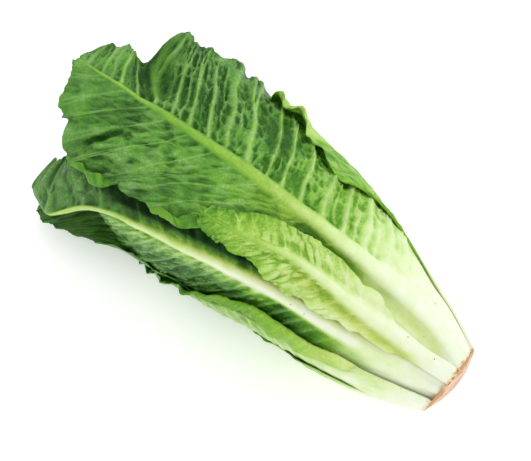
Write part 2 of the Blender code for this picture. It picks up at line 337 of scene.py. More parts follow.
@dataclass(frozen=True)
class LeafPlan:
    """One leaf. Point lists run over the share of its length; mm, and degrees for angles.

    Shape: `layer` counts inwards from the outermost leaf and `reach` is the tip's distance from
    the cut. `low` and `high` are the half widths towards smaller and larger angles. The flares
    push each margin outwards and the lift pushes the midrib out, into a sharper ridge with a
    higher `keel`. `tuck` turns the high half in under the leaf, and the rolls are how much of
    each margin is folded back over the outer side. `vein_rise` is how steeply the rows climb on
    each half, `crumple` the height of the large waves, `ruffle` that of the margin's waves,
    `lobe` and `tooth` the depth of its large and small notches, which set in over `frilled`.
    The relief sets in over `smooth_foot`, mm along, and weakens over `smooth_tip`. `blade` is
    the leaf's thickness and `stalk` that at its foot, `tip_half_width` the half width at the
    very tip, and `fineness` the grid's spacing.

    Colour: `green` and `rib_green` run from 0, white, to 1, darkest; `tone` strokes are added to
    them, and some of these are painted light or painted shade. `pale_veins` is how much paler the
    veins of each half are, `frost_and_sheen` the dull grey bloom, partly painted sheen, with its
    `bloom_and_sheen` strokes of painted light, `olive` strokes and `yellow` turn the blade
    yellower, the olive strokes on shaded flanks being painted shade, `roll_pale` and `roll_olive`
    change the rolled margins, and
    `painted_shadows` are painted shadow in the dark clefts.
    """

    name: str
    slot: Slot
    layer: float
    reach: float
    angle: Points
    low: Points
    high: Points
    green: Points
    low_veins: Veins = Veins()
    high_veins: Veins = Veins()
    vein_rise: Span = (0.14, 0.2)
    rib_width: Points = ((0, 13), (0.17, 11), (0.34, 7), (0.5, 4.8), (0.7, 3), (0.85, 1.6),
                         (1, 0.8))
    rib_height: Points = ((0, 1.0), (0.1, 2.4), (0.3, 3.2), (0.6, 2.4), (0.85, 1.0), (1, 0.3))
    rib_green: Points = ((0, 0), (0.3, 0.06), (0.5, 0.2), (0.7, 0.36), (0.85, 0.5), (1, 0.6))
    rib_lift: Points = FLAT
    keel: Points = ((0, 1), (1, 1))
    low_flare: Points = FLAT
    high_flare: Points = FLAT
    tuck: Points = FLAT
    low_roll: Points = FLAT
    high_roll: Points = FLAT
    folds: Strokes = ()
    creases: Strokes = ()
    olive: Strokes = ()
    tone: Strokes = ()
    painted_shadows: Strokes = ()
    bloom_and_sheen: Strokes = ()
    frost_and_sheen: float = 0.15
    yellow: float = 0.0
    pale_veins: Span = (0.22, 0.22)
    roll_pale: float = 0.2
    roll_olive: float = 0.2
    smooth_foot: Span = (40.0, 95.0)
    smooth_tip: Span = (1.0, 1.2)
    crumple: float = 0.8
    ruffle: float = 1.5
    lobe: float = 2.0
    tooth: float = 0.8
    frilled: Span = (0.18, 0.4)
    seed: int = 1
    fineness: float = 1.0
    tip_half_width: float = 2.5
    blade: float = 0.5
    stalk: float = 1.1


@dataclass
class Leaf:
    """Builds one leaf: a closed thin body with an outer and an inner face; sizes in mm.

    `climb` and `bluntness` are the powers that bend the rows and round off the tip. A size given
    as a pair is (along, across). `ruffled`, `forking`, `minor_shown`, `rib_edge`, `fibres` and
    the pairs ending in `_fade` say where something begins and where it is complete; a single
    `_fade` is the share that is lost. `vein_wander` is how far the veins shift, slowly and
    quickly, `vein_strength` their least strength and its spread, `fine_cells` how much finer the
    small cells are along and across, `net_widths` how wide the borders of the large and small
    cells are, `rib_powers` the powers of the midrib's colour and height, and `fibre_heights` the
    heights of the broad and the narrow fibres.
    """

    plan: LeafPlan
    least_rows: int = 24
    least_columns: int = 8
    climb: float = 1.2
    bluntness: int = 9
    lobe_length: float = 17.0
    tooth_length: float = 4.2
    least_half: float = 2.5
    roll_radius: float = 1.3
    roll_slope: float = 0.05
    roll_ease: float = 2.0
    ruffle_length: float = 21.0
    frill_length: float = 8.0
    frill_share: float = 0.35
    ruffled: Span = (0.25, 0.6)
    crumple_size: Span = (17.0, 15.0)
    flare_bend: float = 2.5
    keel_bend: float = 1.5
    tuck_sink: float = 0.4
    tuck_turn: float = 0.75
    pucker_delay: float = 30.0
    softening: float = 3.5
    hollow_depth: float = 0.7
    vein_wander: Span = (0.2, 0.16)
    forking: Span = (0.42, 0.95)
    unforked: float = 0.25
    vein_taper: float = 0.45
    vein_strength: Span = (0.65, 0.6)
    margin_fade: Span = (1.02, 0.75)
    crowd_fade: Span = (1.2, 4.0)
    least_crowding: float = 0.1
    faded_vein: float = 0.35
    minor_width: float = 0.6
    minor_shown: Span = (-0.35, 0.3)
    sag_width: float = 0.24
    sag_fade: Span = (1.0, 0.6)
    cell_wander: float = 0.4
    fine_cells: Span = (2.3, 3.1)
    net_widths: Span = (0.10, 0.14)
    net_height: float = 0.15
    crinkle: float = 0.5
    crinkle_size: Span = (8.0, 6.0)
    rib_edge: Span = (0.8, 1.25)
    rib_powers: Span = (4.0, 2.6)
    foot_wander: float = 14.0
    fibre_heights: Span = (0.22, 0.05)
    fibre_size: Span = (160.0, 2.4)
    fibres: Span = (95.0, 30.0)
    tip_fade: float = 0.65
    roll_fade: float = 0.4
    billow_share: float = 1.1
    fold_depth: float = 12.0
    crest_fade: float = 0.7
    patch_size: Span = (28.0, 22.0)
    patch_share: float = 0.05
    stalk_end: float = 70.0
    rib_thickness: float = 0.9
    least_height: float = 0.0003

    def __post_init__(self) -> None:
        """Lay the leaf's grid: u runs from foot to tip and v from the low to the high margin."""
        plan = self.plan
        self.start = ENVELOPE.start(plan.layer)
        self.length = plan.reach - self.start
        rows = max(self.least_rows, int(self.length / plan.fineness))
        widest = max(w for _, w in (*plan.low, *plan.high))
        widest += max(w for _, w in (*plan.low_roll, *plan.high_roll))
        columns = max(self.least_columns, int(widest / plan.fineness))
        self.u = np.linspace(0.0, 1.0, rows)[:, None]
        self.v = np.linspace(-1.0, 1.0, 2 * columns + 1)[None, :]
        self.side = np.abs(self.v)
        self.low_side = self.v < 0
        self.side_seed = np.where(self.low_side, 3.7, 19.3) + plan.seed * 5.1

    def by_side(self, low: float | Array, high: float | Array) -> Array:
        """Pick a value for each half of the leaf."""
        return np.where(self.low_side, low, high)

    def veined(self, key: str) -> Array:
        """One size of the vein patterns, for each half of the leaf."""
        return self.by_side(getattr(self.plan.low_veins, key), getattr(self.plan.high_veins, key))

    def bumps(self, long: float, wide: float, pick: int) -> Array:
        """Smooth noise in -1..1 with bumps `long` mm along the leaf and `wide` mm across it."""
        return noise(self.run / long, self.across / wide, self.plan.seed + pick)

    def drawn(self, strokes: Strokes) -> Array | float:
        """Sum of the strokes over the flat leaf."""
        return sum(stroke.at(self.run, self.across) for stroke in strokes)

    def lay_out(self) -> None:
        """Flat leaf coordinates: share of length and distance across, row by row.

        Rows leave the midrib and climb to the margin as side veins do: a row at share u ends at
        share u + 4 rise u (1 - u), so it meets the midrib again at the foot and at the tip.
        """
        plan = self.plan
        rise = self.by_side(*plan.vein_rise)
        end = self.u + 4 * rise * self.u * (1 - self.u)
        self.crowding = 1 + (4 * rise * (1 - 2 * self.u)) * self.side ** self.climb
        self.share = self.u + (end - self.u) * self.side ** self.climb
        blunt = np.sqrt(np.clip(1 - end ** self.bluntness, 0, 1))
        run = end * self.length
        shape = plan.lobe * noise(run / self.lobe_length, self.side_seed, plan.seed)
        shape = shape + plan.tooth * noise(run / self.tooth_length, self.side_seed, plan.seed + 5)
        shape = shape * ramp(*plan.frilled, end) * blunt
        width = self.by_side(curve(plan.low, end), curve(plan.high, end)) + self.least_half
        width = width * blunt + plan.tip_half_width * (1 - blunt)
        roll = self.by_side(curve(plan.low_roll, end), curve(plan.high_roll, end)) * blunt
        self.rolling = ramp(0.0, self.roll_ease, roll)
        self.roll_line = width - self.roll_radius
        extra = self.rolling * (roll + (math.pi - 1) * self.roll_radius)
        self.half = np.maximum(width + shape + extra, self.least_half)
        self.across = self.v * self.half
        self.run = self.share * self.length
        self.along = self.start + self.run

    def roll_over(self) -> tuple[Array, Array]:
        """Fold the margins back over the outer side.

        Past the roll line the blade goes half round a circle and then straight back, so its
        distance across becomes line + r sin(turn) - beyond, and it rises by r (1 - cos(turn)).

        Returns:
            Distance across after rolling and the rise, both mm.
        """
        r = self.roll_radius
        past = np.where(self.rolling > 0, np.abs(self.across) - self.roll_line, 0.0)
        past = np.maximum(past, 0.0)
        turn = np.minimum(past / r, math.pi)
        beyond = np.maximum(past - math.pi * r, 0.0)
        self.rolled = ramp(0.0, 1.5 * r, past)
        across = np.where(past > 0, self.roll_line + r * np.sin(turn) - beyond,
                          np.abs(self.across))
        rise = r * (1 - np.cos(turn)) - self.roll_slope * beyond
        return across * np.where(self.low_side, -1.0, 1.0), rise

    def margin_waves(self) -> Array:
        """Waves of the margins: a slow and a quick sine along the leaf, unevenly spaced.

        Returns:
            Height of the waves, mm, growing towards the margin and past the leaf's foot.
        """
        seed, along = self.plan.seed, self.u * self.length
        slow = along / self.ruffle_length + 0.9 * noise(self.u * 6, self.v * 1.5, seed + 9)
        quick = along / self.frill_length + 0.6 * noise(self.u * 14, self.v * 3, seed + 8)
        waves = np.sin(2 * math.pi * slow) * self.side ** 3
        waves = waves + self.frill_share * np.sin(2 * math.pi * quick) * self.side ** 7
        return self.plan.ruffle * waves * ramp(*self.ruffled, self.share)

    def wrap(self) -> Array:
        """Macro shape: the leaf laid round its layer, with lift, flares, folds, tuck and roll.

        The radius is the layer's, plus lift (1 - side^(bend / keel))^keel at the midrib, plus
        flare side^bend at the margins, plus the folds, waves and large bumps; `side` runs from 0
        on the midrib to 1 at the margin.

        Returns:
            Points in mm in row coordinates.
        """
        plan = self.plan
        base = ENVELOPE.radius(plan.layer, self.along)
        flare = self.by_side(curve(plan.low_flare, self.share), curve(plan.high_flare, self.share))
        keel = curve(plan.keel, self.share)
        ridge = (1 - self.side ** (self.keel_bend / keel)) ** keel
        lift = curve(plan.rib_lift, self.share) * ridge
        tuck = curve(plan.tuck, self.share) * ~self.low_side
        across, rise = self.roll_over()
        for fold in plan.folds:
            rise = rise + fold.at(self.run, across)
        long, wide = self.crumple_size
        crumple = plan.crumple * rough_noise(self.run / long, across / wide, plan.seed + 41)
        crumple = crumple * ramp(*plan.smooth_foot, self.run)
        self.billow = crumple / 2
        radius = base + lift * (1 - tuck * self.side) + flare * self.side ** self.flare_bend + rise
        radius = radius + self.margin_waves() + crumple - self.tuck_sink * tuck * self.across
        turned = across * (1 - self.tuck_turn * tuck) / base
        angle = np.radians(curve(plan.angle, self.share)) + turned
        return ENVELOPE.place(self.along, angle, radius, plan.layer)

    def draw_veins(self) -> tuple[Array, Array, Array, Array]:
        """Side veins along the rows, at uneven distances, splitting in two towards the margin.

        A row's place is counted in vein spacings and shifted by noise; a main vein is a bell
        round each whole number and a lesser vein, where noise lets it, one round each half.

        Returns:
            Main veins, lesser veins, how far both reach (0..1), and the sag between main veins
            in mm.
        """
        spacing = self.veined("spacing")
        place = self.u * self.length / spacing
        slow, quick = self.vein_wander
        place = place + slow * noise(place * 0.8, self.side_seed, self.plan.seed + 20)
        place = place + quick * self.bumps(26, 14, 21)
        number = np.round(place)
        local = spacing * np.maximum(self.crowding, self.least_crowding)
        fork = self.veined("fork") * ramp(*self.forking, self.side)
        fork = fork * (scatter(number, self.side_seed, 5) > self.unforked)
        away = np.abs(np.abs(place - number) - fork) * local
        width = self.veined("width") * (1 - self.vein_taper * self.side)
        least, spread = self.vein_strength
        strength = least + spread * scatter(number, self.side_seed, 7)
        strength = strength * (1 + 0.35 * self.bumps(13, 11, 29))
        reach = ramp(*self.margin_fade, self.side) * ramp(*self.crowd_fade, local)
        main = bell(away, width) * strength * (self.faded_vein + (1 - self.faded_vein) * reach)
        half_way = place + 0.5 - np.round(place + 0.5) + 0.12 * self.bumps(9, 7, 25)
        here = noise(place * 1.3 + 9, self.across / 16, self.plan.seed + 26)
        here = ramp(*self.minor_shown, here)
        minor = bell(np.abs(half_way) * local, self.minor_width * width) * here * reach
        sag = self.veined("trough") * (1 - bell(away, self.sag_width * local))
        sag = sag * (0.25 + 0.75 * ramp(*self.sag_fade, self.side))
        sag = sag * (0.8 + 0.45 * self.bumps(8, 6, 27))
        return main, minor, reach, sag

    def draw_blisters(self) -> tuple[Array, Array, Array]:
        """Puckered cells, smaller cells on them and loose crinkles.

        Returns:
            Height of them all in mm, and the nets of the large and small cells' borders, 0..1.
        """
        seed, cell, outward = self.plan.seed, self.veined("cell"), self.veined("outward")
        x = self.u * self.length / cell + self.cell_wander * self.bumps(8, 8, 2)
        y = self.across / (cell * self.veined("stretch")) + self.cell_wander * self.bumps(8, 8, 3)
        inside, own = cells(x, y, seed + 3)
        more_x, more_y = self.fine_cells
        fine_inside, fine_own = cells(x * more_x + 5, y * more_y + 3, seed + 4)
        net, fine_net = bell(inside, self.net_widths[0]), bell(fine_inside, self.net_widths[1])
        height = self.veined("pucker") * self.puckers(inside, own, outward)
        height = height + self.veined("fine") * self.puckers(fine_inside, fine_own, outward)
        long, wide = self.crinkle_size
        crinkle = self.crinkle * rough_noise(self.run / long, self.across / wide, seed + 28)
        return height + crinkle + self.net_height * net, net, fine_net

    def engrave(self) -> None:
        """Relief of the outer side: midrib, side veins, troughs, blisters, fibres and creases.

        The hollows are where the relief is lower than its own mean over 7 mm.
        """
        plan = self.plan
        main, minor, reach, sag = self.draw_veins()
        blisters, net, fine_net = self.draw_blisters()
        ratio = np.abs(self.across) / curve(plan.rib_width, self.share)
        off_rib = ramp(*self.rib_edge, ratio)
        ragged = self.foot_wander * noise(self.v * 3, 0.5, plan.seed)
        self.leafy = ramp(*plan.smooth_foot, self.run + ragged)
        leafy = self.leafy * off_rib
        veins = np.clip(main + 0.5 * minor, 0, 1)
        self.vein = np.clip(veins + 0.12 * net * reach + 0.08 * fine_net, 0, 1) * leafy
        flat_top, round_top = self.rib_powers
        self.rib = np.exp(-ratio ** flat_top)
        self.rib_rise = curve(plan.rib_height, self.share) * np.exp(-ratio ** round_top)
        fibre = noise(self.across / self.fibre_size[1], self.run / self.fibre_size[0],
                      plan.seed + 51)
        fibre = self.fibre_heights[0] * fibre * ramp(*self.fibres, self.run)
        fibre = fibre + self.fibre_heights[1] * noise(self.across * 1.4, 0.5, 8)
        swell = (1 - veins) * ramp(*plan.smooth_foot, self.run - self.pucker_delay)
        blade = self.veined("height") * main + self.veined("minor") * minor
        blade = blade + blisters * swell - sag
        blade = blade * leafy * (1 - self.tip_fade * ramp(*plan.smooth_tip, self.share))
        blade = fibre * (1 - leafy) + blade * (1 - self.roll_fade * self.rolled)
        hollow = soften(blade, max(1, round(self.softening / plan.fineness))) - blade
        hollow = hollow / self.hollow_depth - self.billow_share * self.billow * off_rib
        creases = self.drawn(plan.creases)
        self.relief = self.rib_rise + blade + creases
        hollow = hollow - creases
        for fold in plan.folds:
            sunk = np.maximum(-fold.at(self.run, self.across), 0.0)
            hollow = hollow + sunk / self.fold_depth
        # The crest mask drives painted highlight and sheen; the pit mask, deepened by creases,
        # folds and the low parts of the large waves, drives painted shade.
        self.crest = np.clip(-hollow, 0, 1) * (1 - self.crest_fade * self.rolled)
        self.pit = np.clip(hollow, 0, 1)

    @staticmethod
    def puckers(inside: Array, own: Array, outward: Array) -> Array:
        """Height of each cell: its own random amount out or in, rounded off towards its border.

        Args:
            inside: how far inside its cell each point is.
            own: its cell's own random number.
            outward: 0 where cells sink, 1 where they bulge out.

        Returns:
            Heights of about -1.65 to 1.65.
        """
        height = 2 * outward - 1 + 1.3 * (own - 0.5)
        dome = 1 - (1 - np.clip(inside / 0.7, 0, 1)) ** 2
        return height * np.where(height > 0, dome, ramp(0.0, 0.5, inside))

    def tint(self) -> None:
        """Greenness from 0 (white stalk) to 1 (darkest blade), with painted highlight on crests and
        painted shade in hollows; olive tint; grey bloom, partly painted sheen; painted shadow in
        the clefts.
        """
        plan = self.plan
        long, wide = self.patch_size
        patch = rough_noise(self.run / long, self.across / wide, plan.seed + 31)
        green = curve(plan.green, self.share + self.patch_share * patch + 0.06 * self.side ** 2)
        green = green + self.patch_share * (self.side ** 6 + patch) * self.leafy
        # Paler crests are a painted highlight, and darker hollows on the next line a painted shade.
        green = green * (1 - self.by_side(*plan.pale_veins) * self.vein - 0.12 * self.crest)
        green = green + 0.16 * self.pit * ramp(0.05, 0.3, green) - plan.roll_pale * self.rolled
        rib_green = curve(plan.rib_green, self.share)
        green = green + (rib_green - green) * self.rib
        self.green = np.clip(green + self.drawn(plan.tone), 0, 1)
        olive = 0.35 * self.rib * ramp(0.0, 0.4, rib_green) + plan.roll_olive * self.rolled
        olive = olive + plan.yellow * (1 - self.rib)
        self.olive = np.clip(olive + self.drawn(plan.olive), 0, 1)
        # Painted shadow: the shadow strokes darken the clefts under overhanging leaves.
        gap = np.zeros_like(olive)
        for stroke in plan.painted_shadows:
            gap = np.maximum(gap, stroke.at(self.run, self.across))
        self.gap = np.clip(gap, 0, 1)
        # Grey bloom, partly painted sheen: raised veins and crests get more of it, hollows less.
        frost_and_sheen = plan.frost_and_sheen * (0.75 + 0.4 * patch) + self.drawn(plan.bloom_and_sheen)
        raised = (0.35 * self.vein + 0.3 * self.crest) * min(1.0, plan.frost_and_sheen / 0.15)
        frost_and_sheen = (frost_and_sheen + raised - 0.8 * frost_and_sheen * self.pit) * (1 - self.rolled)
        self.frost_and_sheen = np.clip(frost_and_sheen * (1 - self.olive) * (1 - self.gap), 0, 1)

    def build(self, material: bpy.types.Material) -> bpy.types.Object:
        """Make the leaf's object and dress it.

        The outer face stands on the macro shape by the relief; the inner face lies below it by
        the blade's thickness, with the midrib's bulge left out.

        Args:
            material: finish of the whole leaf.

        Returns:
            The finished object, riding on the body and standing for its CAD node.
        """
        self.lay_out()
        middle = self.wrap()
        self.engrave()
        self.tint()
        normal = np.cross(np.gradient(middle, axis=0), np.gradient(middle, axis=1))
        normal /= np.maximum(np.linalg.norm(normal, axis=-1, keepdims=True), 1e-9)
        plan = self.plan
        stalk = ramp(self.stalk_end, 0.0, self.along)
        thick = plan.blade + (plan.stalk - plan.blade) * stalk + self.rib_thickness * self.rib_rise
        top = middle + normal * self.relief[..., None]
        under = middle + normal * (self.relief - thick)[..., None]
        points = np.concatenate((top.reshape(-1, 3), under.reshape(-1, 3))) * MM
        points[:, 2] = np.maximum(points[:, 2], self.least_height)
        masks = {"inner": np.repeat((0.0, 1.0), self.across.size)}
        fields = {key: getattr(self, key)
                  for key in ("green", "olive", "frost_and_sheen", "vein", "pit", "crest", "gap")}
        for key, field in (*fields.items(), ("cut", self.along * MM)):
            masks[key] = np.tile(np.broadcast_to(field, self.across.shape).ravel(), 2)
        piece = add_mesh(plan.name + "_blade", points, sheet_faces(*self.across.shape), masks)
        return dress(piece, plan.name, material)


def sheet_faces(rows: int, columns: int) -> Array:
    """Quads of a closed sheet: an outer grid, an inner grid after it, and the band between.

    Args:
        rows: points along the sheet.
        columns: points across the sheet.

    Returns:
        (n, 4) vertex numbers; the inner grid's numbers follow the outer grid's.
    """
    index = np.arange(rows * columns).reshape(rows, columns)
    quads = np.stack((index[:-1, :-1], index[1:, :-1], index[1:, 1:], index[:-1, 1:]), axis=-1)
    quads = quads.reshape(-1, 4)
    rim = np.concatenate((index[0, :], index[1:, -1], index[-1, -2::-1], index[-2:0:-1, 0]))
    after = np.roll(rim, -1)
    under = rows * columns
    band = np.stack((rim, after, after + under, rim + under), axis=-1)
    return np.concatenate((quads, quads[:, ::-1] + under, band))


def add_mesh(name: str, points: Array, quads: Array, masks: dict[str, Array]) -> bpy.types.Object:
    """Put points and quads into a new smooth mesh object.

    Args:
        name: the piece's name.
        points: (n, 3) places in metres.
        quads: (m, 4) vertex numbers.
        masks: a value for each vertex under each attribute's name.

    Returns:
        The object, linked to the scene.
    """
    mesh = bpy.data.meshes.new(name)
    mesh.vertices.add(len(points))
    mesh.vertices.foreach_set("co", points.astype(np.float32).ravel())
    mesh.loops.add(quads.size)
    mesh.loops.foreach_set("vertex_index", quads.astype(np.int32).ravel())
    mesh.polygons.add(len(quads))
    mesh.polygons.foreach_set("loop_start", np.arange(0, quads.size, 4, dtype=np.int32))
    mesh.update(calc_edges=True)
    for key, values in masks.items():
        layer = mesh.attributes.new(key, "FLOAT", "POINT")
        layer.data.foreach_set("value", values.astype(np.float32))
    mesh.shade_smooth()
    mesh.set_sharp_from_angle(angle=math.radians(60))
    piece = bpy.data.objects.new(name, mesh)
    bpy.context.scene.collection.objects.link(piece)
    return piece


def dress(piece: bpy.types.Object, node: str,
          material: bpy.types.Material) -> bpy.types.Object:
    """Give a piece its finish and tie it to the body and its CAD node.

    Args:
        piece: the object.
        node: name of the CAD node it stands for.
        material: finish of the whole piece.

    Returns:
        The same object.
    """
    piece.data.materials.append(material)
    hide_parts(node)
    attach(piece, BODY)
    return piece


# ---------------------------------------------------------------- finishes

@dataclass
class NodeKit:
    """Short calls for laying nodes in one node tree. A value is a number, colour or output."""

    tree: bpy.types.NodeTree

    def add(self, kind: str, **settings: object) -> bpy.types.Node:
        """Add a node.

        Args:
            kind: the node's type name.
            settings: its properties to set.

        Returns:
            The new node.
        """
        node = self.tree.nodes.new(kind)
        for key, value in settings.items():
            setattr(node, key, value)
        return node

    def feed(self, slot: bpy.types.NodeSocket, value: object) -> None:
        """Set a socket to a number or colour, or link it to an output.

        Args:
            slot: the socket.
            value: what it gets.
        """
        if isinstance(value, bpy.types.NodeSocket):
            self.tree.links.new(value, slot)
        elif isinstance(value, tuple):
            slot.default_value = (*value, 1.0) if len(slot.default_value) == 4 else value
        else:
            slot.default_value = value

    def feed_all(self, node: bpy.types.Node, *values: tuple[str | int, object]) -> None:
        """Set or link several inputs of a node, each given as (its name or number, value)."""
        for key, value in values:
            self.feed(node.inputs[key], value)

    def math(self, operation: str, *values: object) -> bpy.types.NodeSocket:
        """One Math node.

        Args:
            operation: what it works out.
            values: its inputs in order.

        Returns:
            Its output.
        """
        node = self.add("ShaderNodeMath", operation=operation)
        self.feed_all(node, *enumerate(values))
        return node.outputs["Value"]

    def times(self, first: object, *others: object) -> bpy.types.NodeSocket:
        """Product of two or more values.

        Args:
            first: a number or output.
            others: what it is multiplied by, in turn.

        Returns:
            The product.
        """
        for other in others:
            first = self.math("MULTIPLY", first, other)
        return first

    def scaled(self, value: object, scale: object, added: object) -> bpy.types.NodeSocket:
        """Value times scale, plus another value."""
        return self.math("MULTIPLY_ADD", value, scale, added)

    def less(self, value: object, taken: object) -> bpy.types.NodeSocket:
        """One value less another."""
        return self.math("SUBTRACT", value, taken)

    def blend(self, share: object, first: object, second: object,
              how: str = "MIX") -> bpy.types.NodeSocket:
        """Mix two colours.

        Args:
            share: 0 for the first, 1 for the second.
            first: the colour under the mix.
            second: the colour laid on it.
            how: the mix's blend type.

        Returns:
            The mixed colour.
        """
        node = self.add("ShaderNodeMix", data_type="RGBA", blend_type=how)
        self.feed_all(node, (0, share), (6, first), (7, second))
        return node.outputs[2]

    def ramp(self, at: object, stops: tuple[tuple[float, Colour], ...]) -> bpy.types.NodeSocket:
        """Colour ramp.

        Args:
            at: place on the ramp.
            stops: (place, colour) pairs in rising order.

        Returns:
            The colour at that place.
        """
        node = self.add("ShaderNodeValToRGB")
        elements = node.color_ramp.elements
        elements[0].position, elements[-1].position = stops[0][0], stops[-1][0]
        for position, _ in stops[1:-1]:
            elements.new(position)
        for element, (_, colour) in zip(elements, stops):
            element.color = (*colour, 1.0)
        self.feed(node.inputs["Fac"], at)
        return node.outputs["Color"]

    def noise(self, place: bpy.types.NodeSocket, scale: float, detail: float = 2.0,
              roughness: float = 0.5) -> bpy.types.NodeSocket:
        """Noise in 0..1.

        Args:
            place: where it is read.
            scale: bumps in a metre.
            detail: finer octaves on it.
            roughness: how strong they are.

        Returns:
            The noise's value.
        """
        node = self.add("ShaderNodeTexNoise")
        self.feed_all(node, ("Vector", place), ("Scale", scale), ("Detail", detail),
                      ("Roughness", roughness))
        return node.outputs["Fac"]

    def spots(self, place: bpy.types.NodeSocket, scale: float,
              feature: str = "F1") -> bpy.types.NodeSocket:
        """Distance to scattered points, or to the borders between them.

        Args:
            place: where it is read.
            scale: points in a metre.
            feature: which distance.

        Returns:
            The distance, in spacings of the points.
        """
        node = self.add("ShaderNodeTexVoronoi", feature=feature)
        self.feed_all(node, ("Vector", place), ("Scale", scale))
        return node.outputs["Distance"]

    def between(self, at: object, low: float, high: float) -> bpy.types.NodeSocket:
        """Straight ramp.

        Args:
            at: value that is read.
            low: where the ramp gives 0.
            high: where it gives 1.

        Returns:
            The ramp's value, held level outside.
        """
        node = self.add("ShaderNodeMapRange")
        self.feed_all(node, ("Value", at), ("From Min", low), ("From Max", high))
        return node.outputs["Result"]

    def mask(self, name: str) -> bpy.types.NodeSocket:
        """One of the piece's own attributes."""
        return self.add("ShaderNodeAttribute", attribute_name=name).outputs["Fac"]

    def here(self) -> bpy.types.NodeSocket:
        """Object coordinates."""
        return self.add("ShaderNodeTexCoord").outputs["Object"]


BLADE_TONES: tuple[tuple[float, Colour], ...] = (
    (0.0, (0.76, 0.81, 0.66)), (0.10, (0.69, 0.79, 0.47)), (0.25, (0.51, 0.71, 0.24)),
    (0.38, (0.35, 0.58, 0.10)), (0.5, (0.22, 0.46, 0.035)), (0.62, (0.145, 0.365, 0.022)),
    (0.75, (0.09, 0.275, 0.017)), (0.88, (0.05, 0.18, 0.011)), (1.0, (0.02, 0.085, 0.005)))
OLIVE_TONES: tuple[tuple[float, Colour], ...] = (
    (0.0, (0.74, 0.76, 0.52)), (0.15, (0.62, 0.70, 0.29)), (0.3, (0.47, 0.59, 0.12)),
    (0.45, (0.30, 0.47, 0.05)), (0.6, (0.175, 0.35, 0.022)), (0.8, (0.07, 0.19, 0.012)),
    (1.0, (0.025, 0.09, 0.006)))


